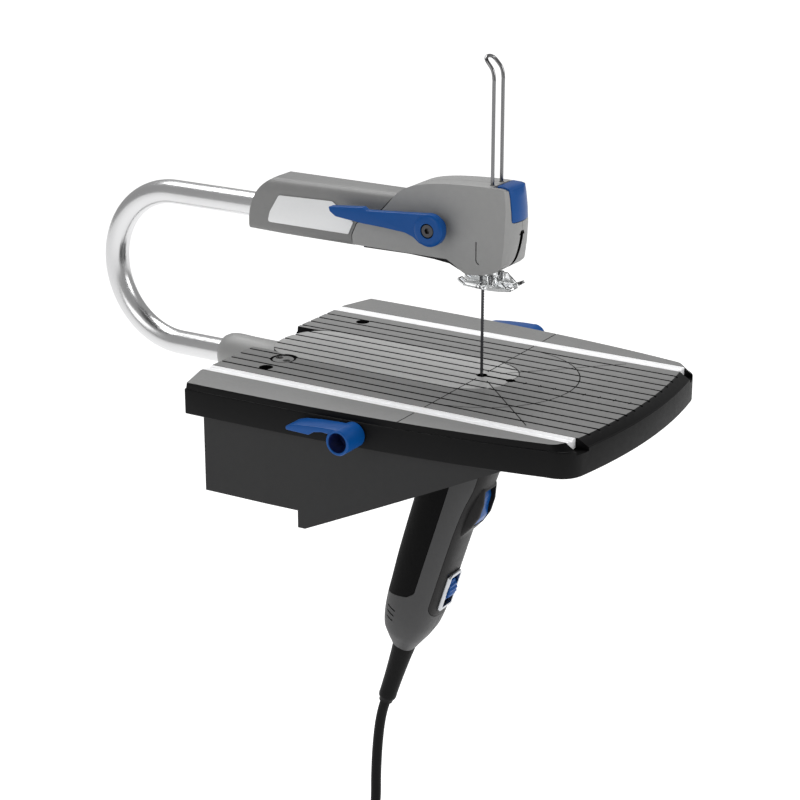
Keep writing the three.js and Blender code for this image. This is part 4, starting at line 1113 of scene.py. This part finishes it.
# ---------------------------------------------------------------- head

def head_outline():
    shape = Outline((54.4, 108.6), 16)
    shape.cubic((49, 114.8), (40, 117.8), (24, 119.6)).curve((4, 121.6), (-17, 121.2))
    shape.curve((-24, 121), (-25.2, 114.5)).curve((-27.2, 103), (-25.8, 92.5))
    shape.curve((-24.8, 85), (-22.6, 79)).curve((-19.6, 71.2), (-13, 69.6)).curve((-4, 67.2), (3.4, 66.9))
    shape.curve((8, 69), (12, 71.8)).line((17, 74.6), (SEAM[4][0] - 0.5, 74.6))
    return shape.points + [Vector((p.x - 0.5, p.y)) for p in reversed(seam_line()[1:-1])]


def crown(forward=0):
    """Plan of the nose, which bulges forward between the sides and a little at mid-height."""
    bulges = ((50, -3), (66, -2.4), (76, -0.6), (86, 0.7), (97, 1.3), (108, 0.6), (116, -0.4), (124, -2))
    wide = HEAD_HALF + 1
    rings = []
    for z, bulge in bulges:
        ahead = forward + bulge
        shape = Outline((wide, 95), 24).line((-wide, 95), (-wide, -20.3 - ahead))
        shape.curve((0, -29.6 - ahead), (wide, -20.3 - ahead))
        rings.append([(p.x, p.y, z) for p in shape.points])
    return skin("crown", rings)


def draft():
    """The head's cross-section, which narrows a little towards its top."""
    wide = HEAD_HALF + 1
    return prism("draft", [(-wide, 55), (wide, 55), (wide, 84), (HEAD_TOP_HALF, 122),
                           (-HEAD_TOP_HALF, 122), (-wide, 84)], -40, 120, "Y")


def head_half(side):
    name = "left" if side < 0 else "right"
    shell = prism(f"head_cover_{name}", head_outline(), -HEAD_HALF, HEAD_HALF, "X")
    common(shell, crown(), draft())
    soften(shell, 1.5, 4, 40)
    low, high = (-40, -GAP / 2) if side < 0 else (GAP / 2, 40)
    common(shell, box(low, high, -60, 120, 40, 160))
    tools = [
        box(-9.2, 9.2, -14, 36, 60, 113),
        prism("blade_slot", rounded([(-1.8, 60, 0), (1.8, 60, 0), (1.8, 94, 1.8), (-1.8, 94, 1.8)]),
              -40, 0, "Y"),
        prism("button_seat", rounded([(-10, 100.6, 2.6), (10, 100.6, 2.6), (10, 130, 0),
                                      (-10, 130, 0)]), -40, -11, "Y"),
        prism("under_seat", under_outline(GAP), -12.3, 12.3, "X"),
        bar(ROD_RADIUS + 0.45, 60, 130, centre=(side * ROD_X, ROD_Y, 0)),
        bar(3.4, -20, 11.6, "X", (0, *LEVER_AXIS)),
    ]
    if side < 0:
        line = Outline((-2.6, 88), 8).line((-3.4, 88), (-3.4, 77.5)).curve((-3.4, 75.6), (-5.2, 74.8))
        line.line((-4.9, 74)).curve((-2.6, 75), (-2.6, 77.5))
        tools.append(prism("vent_line", line.points, -HEAD_HALF - 1, -HEAD_HALF + 1.4, "X"))
    else:
        tools.append(bar(2.5, 11, 20, "X", (0, 50, 96)))
    cut(shell, *tools)
    place(shell, "base", [f"head_shell_{name}"], FINISHES["head_grey"])
    # The blade slot's walls in the nose are painted near-black: painted shade inside the slot.
    nose_slot = BLADE @ Vector((0, -12, 94.5))
    paint_where(shell, "mark_and_shade_black", lambda c, n: abs(c.x) < 2.1 * MM and c.y < nose_slot.y
                and c.z < nose_slot.z)


def under_outline(grow=0):
    """Side view of the cover under the arm, grown by a little for its seat."""
    return [(6 - grow, 66.7 - grow), (11, 68.6 - grow), (17, 71.2 - grow), (28, 72.4 - grow),
            (45, 73.2 - grow), (78 + grow, 72.8 - grow), (78 + grow, 76 + grow), (16, 76 + grow),
            (6 - grow, 71 + grow)]


def add_under_cover():
    cover = prism("lower_cover", under_outline(), -12, 12, "X")
    soften(cover, 0.6, 3)
    place(cover, "base", ["head_under_cover"], FINISHES["skirt_gloss"])


def add_tension_lever():
    """A flat hub on a narrower boss, with an arm that lies back along the sleeve."""
    rim = LEVER_HUB
    hub = turned("tension_arm", [(4.6, 0), (rim - 2.2, 0), (rim - 0.9, 0.4), (rim - 0.1, 1.3),
                                 (rim, 2), (rim, 5.7), (rim - 0.3, 6), (6.6, 6), (6.6, 11.6), (3.4, 11.6),
                                 (3.4, 3.4), (4.6, 3.4)], "X", (-28.2, *LEVER_AXIS))
    arm = prism("arm", rounded([
        (24, 103.9, 0), (40, 102.6, 20), (58, 101.2, 8), (66.5, 100.7, 1), (69, 102.3, 0.8),
        (93.5, 99.9, 0.8), (92.6, 97, 2), (88.5, 94.3, 4), (70, 92.5, 20), (55, 91.9, 20),
        (39, 90.8, 6), (33.5, 88.9, 4), (29, 85.6, 4), (24, 84.2, 0)], 6), -27.4, -22.4, "X")
    soften(arm, 0.7, 3, 45)
    cut(arm, bar(rim - 1.6, -30, -10, "X", (0, *LEVER_AXIS)))
    join(hub, arm)
    place(hub, "tension", ["tension_lever"], FINISHES["blue_plastic"])


def add_lever_screw():
    """Socket-head screw sunk in the lever's hub."""
    screw = turned("hub_screw", [(0, 0), (3.8, 0), (4.2, 0.4), (4.2, 2.2), (3.2, 3), (0, 3)], "X",
                   (-28, *LEVER_AXIS))
    socket = [(p[0] + LEVER_AXIS[0], p[1] + LEVER_AXIS[1]) for p in circle(1.9, 6)]
    cut(screw, prism("socket", socket, -29, -26.2, "X"))
    place(screw, "tension", ["lever_screw"], FINISHES["dark_steel"])


def add_release_button():
    side = Outline((-32, 101.2), 12).line((-25.8, 112)).curve((-25.6, 121.2), (-19.6, 121.9))
    side.line((-14.2, 122.2), (-14.2, 101.2))
    button = prism("front_button", side.points, -9.6, 9.6, "X")
    common(button, crown(0.4))
    soften(button, 1.0, 4, 40)
    place(button, "release_button", ["release_button"], FINISHES["blue_plastic"])


def add_foot():
    """Clear forked sole with raised ends, two ribs and two rod bosses."""
    z = FOOT_Z
    sole = Outline((-7, 10), 8).line((7, 10), (9, -4)).curve((9.5, -16), (5, -21))
    sole.line((-5, -21)).curve((-9.5, -16), (-9, -4))
    foot = prism("presser_foot", sole.points, z, z + 2)
    rib = [(9, z + 1), (9, z + 2.6), (1.5, z + 8.2), (-13, z + 8.2), (-19, z + 3), (-19, z + 1)]
    pieces = [bar(2.6, z + 0.6, z + 8.6, centre=(x, ROD_Y, 0)) for x in (-ROD_X, ROD_X)]
    pieces += [prism("rib", rib, x - 0.6, x + 0.6, "X") for x in (-6.6, 6.6)]
    pieces.append(box(-5, 5, -9.4, -7.6, z + 1, z + 7))
    pieces.append(prism("toe", [(-18, z + 0.4), (-26.4, z + 4.4), (-25.6, z + 6), (-16, z + 1.8)],
                        -4, 4, "X"))
    pieces.append(prism("heel", [(9, z), (13.8, z + 2.6), (13.8, z + 4.2), (9, z + 2)], -7, 7, "X"))
    join(foot, *pieces)
    cut(foot, box(-1.6, 1.6, -3.4, 20, 50, 70), bar(3, 50, 70))
    soften(foot, 0.25, 2, 50)
    place(foot, "foot", ["hold_down_foot"], FINISHES["clear_plastic"])


def add_rod():
    leg = [(ROD_X, ROD_Y, z) for z in (FOOT_Z + 2.8, 100, 140, 178, 184)]
    bend = [(ROD_X * 0.98, ROD_Y + 1.2, 189.4), (ROD_X * 0.9, -3.4, 194.2), (3.2, -1.9, 195.8)]
    right = leg + bend
    left = [(-x, y, z) for x, y, z in reversed(right)]
    path = eased(right + [(0, -1.5, 196.4)] + left, 1.2)
    rod = round_tube("hairpin_rod", path, ROD_RADIUS, 20)
    place(rod, "foot", ["foot_rod"], FINISHES["rod_steel"], 60)


def add_blade():
    """Pin-end blade with teeth on its front edge, pointing down."""
    top, length, pitch = 79, 101.6, 1.7
    low = top - length
    front, back = -0.9, 1.1
    points = [(back, low), (back, top), (front + 0.3, top)]
    z = top - 9
    while z > low + 9:
        points += [(front + 0.45, z), (front, z - pitch * 0.8)]
        z -= pitch
    points += [(front + 0.3, low + 8), (front + 0.3, low)]
    blade = prism("saw_blade", points, -0.28, 0.28, "X")
    for z in (77, -20.5):
        join(blade, bar(0.7, -3.2, 3.2, "X", (0, 0.1, z), 24))
    place(blade, "blade_carriage", ["blade"], FINISHES["dark_steel"])


# ---------------------------------------------------------------- handle

HANDLE_STATIONS = [
    (-150, 8.8, 8.4, 7.8), (-146, 11.6, 11.4, 9.4), (-138, 15.8, 16.8, 12.8),
    (-127, 18.2, 19.4, 16.2), (-112, 19.2, 20.9, 17.6), (-84, 19.5, 22.4, 17.4),
    (-50, 19.5, 23.3, 17.6), (-30, 19.6, 23.6, 19), (-14, 19.8, 23.8, 21.8), (60, 20, 24, 22.4),
]


def handle_form(inset=0, low=-200, count=80):
    """The handle's outer form, or that form shrunk all round by inset."""
    stations = [s for s in HANDLE_STATIONS if s[0] >= low]
    fine = between([s for s in stations if s[0] <= -112], 16)
    fine += between([s for s in stations if s[0] >= -112], 30)[1:]
    rings = []
    for z, half, rear, front in fine:
        ring = []
        for i in range(count):
            angle = 2 * math.pi * i / count
            c, s = math.cos(angle), math.sin(angle)
            power, depth = (2.2, rear) if s > 0 else (2.6, front)
            ring.append(((half - inset) * math.copysign(abs(c) ** (2 / power), c),
                         (depth - inset) * math.copysign(abs(s) ** (2 / power), s), z))
        rings.append(ring)
    return skin("form", rings, HANDLE)


def above_roof():
    return box(-60, 60, -90, 110, -PLATFORM_DEPTH - 0.6, 90)


def grip_region(grow):
    corners = [(-3 - grow, -12 + grow, 3), (-3 - grow, -100 - grow, 5), (1, -105 - grow, 3),
               (30, -118 - grow, 0), (30, -12 + grow, 0)]
    return prism("grip", rounded(corners, 6), -40, 40, "X", HANDLE)


def panel_region(grow, back=-9):
    half = 14.2 + grow
    low = -115.6 - grow
    shape = Outline((half, -2 + grow), 14).line((-half, -2 + grow), (-half, -106))
    shape.curve((-half, low), (0, low)).curve((half, low), (half, -106))
    return prism("panel", shape.points[:-1] + [Vector((half, -106))], -40, back + grow, "Y", HANDLE)


def handle_half(side):
    name = "left" if side < 0 else "right"
    shell = handle_form()
    shell.name = f"handle_cover_{name}"
    low, high = (-60, -GAP / 2) if side < 0 else (GAP / 2, 60)
    common(shell, box(low, high, -60, 60, -220, 100, HANDLE))
    grip = grip_region(GAP)
    cut(grip, handle_form(1.9))
    cut(shell, above_roof(), handle_form(2.4, -146), grip, panel_region(GAP),
        bar(8.2, -170, -140, matrix=HANDLE), bar(9.6, -146.4, -138, matrix=HANDLE))
    for z in (-120, -124, -128):
        rib = rounded([(18, z - 0.5, 0.3), (6, z - 0.5, 0.4), (6, z + 0.5, 0.4), (18, z + 0.5, 0.3)], 3)
        near, far = sorted((side * 14.5, side * 40))
        cut(shell, prism("rib", rib, near, far, "X", HANDLE))
    if side > 0:
        for y, z in ((-8, -66), (-2, -134)):
            cut(shell, bar(2.5, 14.4, 30, "X", (0, y, z), matrix=HANDLE))
    place(shell, "base", [f"handle_shell_{name}"], FINISHES["handle_grey"], 40)


def add_grip():
    grip = handle_form()
    grip.name = "rubber_grip"
    common(grip, grip_region(0))
    cut(grip, handle_form(1.6), above_roof())
    place(grip, "base", ["rear_grip"], FINISHES["grip_rubber"], 40)


def add_panel():
    panel = handle_form()
    panel.name = "front_strip"
    common(panel, panel_region(0))
    guard = rounded([(-12, -6, 0), (-17, -8, 4), (-22, -14, 5), (-24.2, -24, 8), (-24.2, -34, 5),
                     (-21.5, -43, 6), (-17.2, -52, 6), (-12, -56, 0)], 6)
    walls = prism("guard", guard, -9.4, 9.4, "X", HANDLE)
    soften(walls, 2.2, 4, 50)
    join(panel, walls)
    cut(panel, handle_form(2.8), above_roof(), box(-6.7, 6.7, -40, 0, -42, -15.4, HANDLE),
        box(-7.9, 7.9, -40, 0, -109.9, -81.3, HANDLE))
    place(panel, "base", ["front_panel"], FINISHES["panel_black"], 40)


def add_trigger():
    side = rounded([(-15.6, -16.2, 0), (-18.4, -16.2, 1), (-21.6, -22, 4), (-22, -30, 5), (-23.2, -36, 3),
                    (-22, -41.2, 1.2), (-15.6, -41.2, 0)], 6)
    trigger = prism("trigger_key", side, -6.3, 6.3, "X", HANDLE)
    soften(trigger, 0.9, 3, 45)
    place(trigger, "trigger", ["trigger"], FINISHES["blue_plastic"])


def add_dial():
    points = []
    for i in range(72):
        angle = 2 * math.pi * i / 72
        reach = 8.2 + 0.3 * math.tanh(4 * math.sin(18 * angle))
        points.append((DIAL_AT[0] + reach * math.cos(angle), DIAL_AT[1] + reach * math.sin(angle)))
    dial = prism("thumbwheel", points, -4.4, 4.4, "X", HANDLE)
    cut(dial, bar(1.6, -6, 6, "X", (0, *DIAL_AT), matrix=HANDLE))
    soften(dial, 0.35, 2, 50)
    place(dial, "speed_dial", ["speed_dial"], FINISHES["blue_plastic"])


def add_bezel():
    face = rounded([(-7.6, -109.6, 1), (7.6, -109.6, 1), (7.6, -84.4, 1), (5.2, -81.6, 1),
                    (-5.2, -81.6, 1), (-7.6, -84.4, 1)], 4)
    bezel = prism("dial_frame", face, -19.2, -16.4, "Y", HANDLE)
    soften(bezel, 0.4, 2, 50)
    opening = rounded([(-5.6, -107.4, 0.8), (5.6, -107.4, 0.8), (5.6, -84, 0.8), (-5.6, -84, 0.8)], 4)
    cut(bezel, prism("opening", opening, -30, 0, "Y", HANDLE))
    place(bezel, "base", ["dial_bezel"], FINISHES["dial_rim"])


def add_strain_relief():
    """Tapered boot with a step near its tip."""
    profile = [(0, -198.6), (4.0, -198.6), (4.6, -198.2), (4.7, -196.2), (5.7, -194.6), (6.0, -193.2),
               (5.9, -190), (6.1, -180), (6.5, -170), (7.0, -160), (7.7, -150.4), (7.8, -146),
               (9.3, -145.8), (9.3, -142.6), (0, -142.6)]
    boot = turned("cord_boot", profile, matrix=HANDLE)
    place(boot, "base", ["strain_relief"], FINISHES["cord_jacket"], 35)


def recessed_screw(node, name, head):
    """Pan-head screw with a cross recess, its head facing along +X at head."""
    centre = middle(node)
    matrix = Matrix.Translation((head - 3 * MM, centre.y, centre.z)) @ Matrix.Scale(MM, 4)
    screw = turned(name, [(0, 0), (1.3, 0), (1.3, 1), (2.2, 1), (2.2, 2.3), (1.9, 2.7), (1.2, 2.95),
                          (0, 3)], "X", matrix=matrix)
    cut(screw, box(2, 4, -1.3, 1.3, -0.3, 0.3, matrix), box(2, 4, -0.3, 0.3, -1.3, 1.3, matrix))
    place(screw, "base", [node], FINISHES["dark_steel"])


# ---------------------------------------------------------------- the saw

def dress_inner_nodes():
    """Pieces inside the casings keep their CAD shape, with broken edges."""
    finishes = {
        "base_housing": ("black_plastic", 0.7), "left_lock_pin": ("bright_steel", 0.3),
        "right_lock_pin": ("bright_steel", 0.3), "cam_shaft": ("bright_steel", 0.3),
        "upper_blade_clamp": ("bright_steel", 0.3), "lower_blade_clamp": ("bright_steel", 0.3),
        "upper_plunger": ("bright_steel", 0.3), "upper_bush": ("brass_finish", 0.3),
        "yoke_bush": ("brass_finish", 0.2), "tension_spring": ("bright_steel", 0.0),
        "drive_yoke": ("bright_steel", 0.3), "switch_body": ("black_plastic", 0.4),
        "speed_control_board": ("board_green", 0.1), "motor_can": ("bright_steel", 0.3),
        "armature": ("winding_copper", 0.3), "motor_fan": ("black_plastic", 0.2),
        "front_bearing": ("bright_steel", 0.3), "rear_bearing": ("bright_steel", 0.3),
        "pinion": ("brass_finish", 0.05), "crank_gear": ("brass_finish", 0.08),
        "gear_axle": ("bright_steel", 0.3), "gear_frame": ("rail_metal", 0.3),
    }
    for node, (finish, width) in finishes.items():
        keep_node(node, finish, width)


add_camera()
add_lead()
add_studio()
add_table()
add_platform()
add_table_plug()
for hand, word in ((-1, "left"), (1, "right")):
    add_rail(hand, word)
    lock_lever(hand, word)
    head_half(hand)
    handle_half(hand)
add_socket()
add_tube()
add_sleeve()
add_label()
add_under_cover()
add_tension_lever()
add_lever_screw()
add_release_button()
add_foot()
add_rod()
add_blade()
add_grip()
add_panel()
add_trigger()
add_dial()
add_bezel()
add_strain_relief()
recessed_screw("head_screw", "cover_screw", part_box("head_screw")[1][0])
for number in (1, 2):
    screw_node = f"handle_screw_{number}"
    recessed_screw(screw_node, f"grip_screw_{number}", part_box(screw_node)[1][0])
dress_inner_nodes()
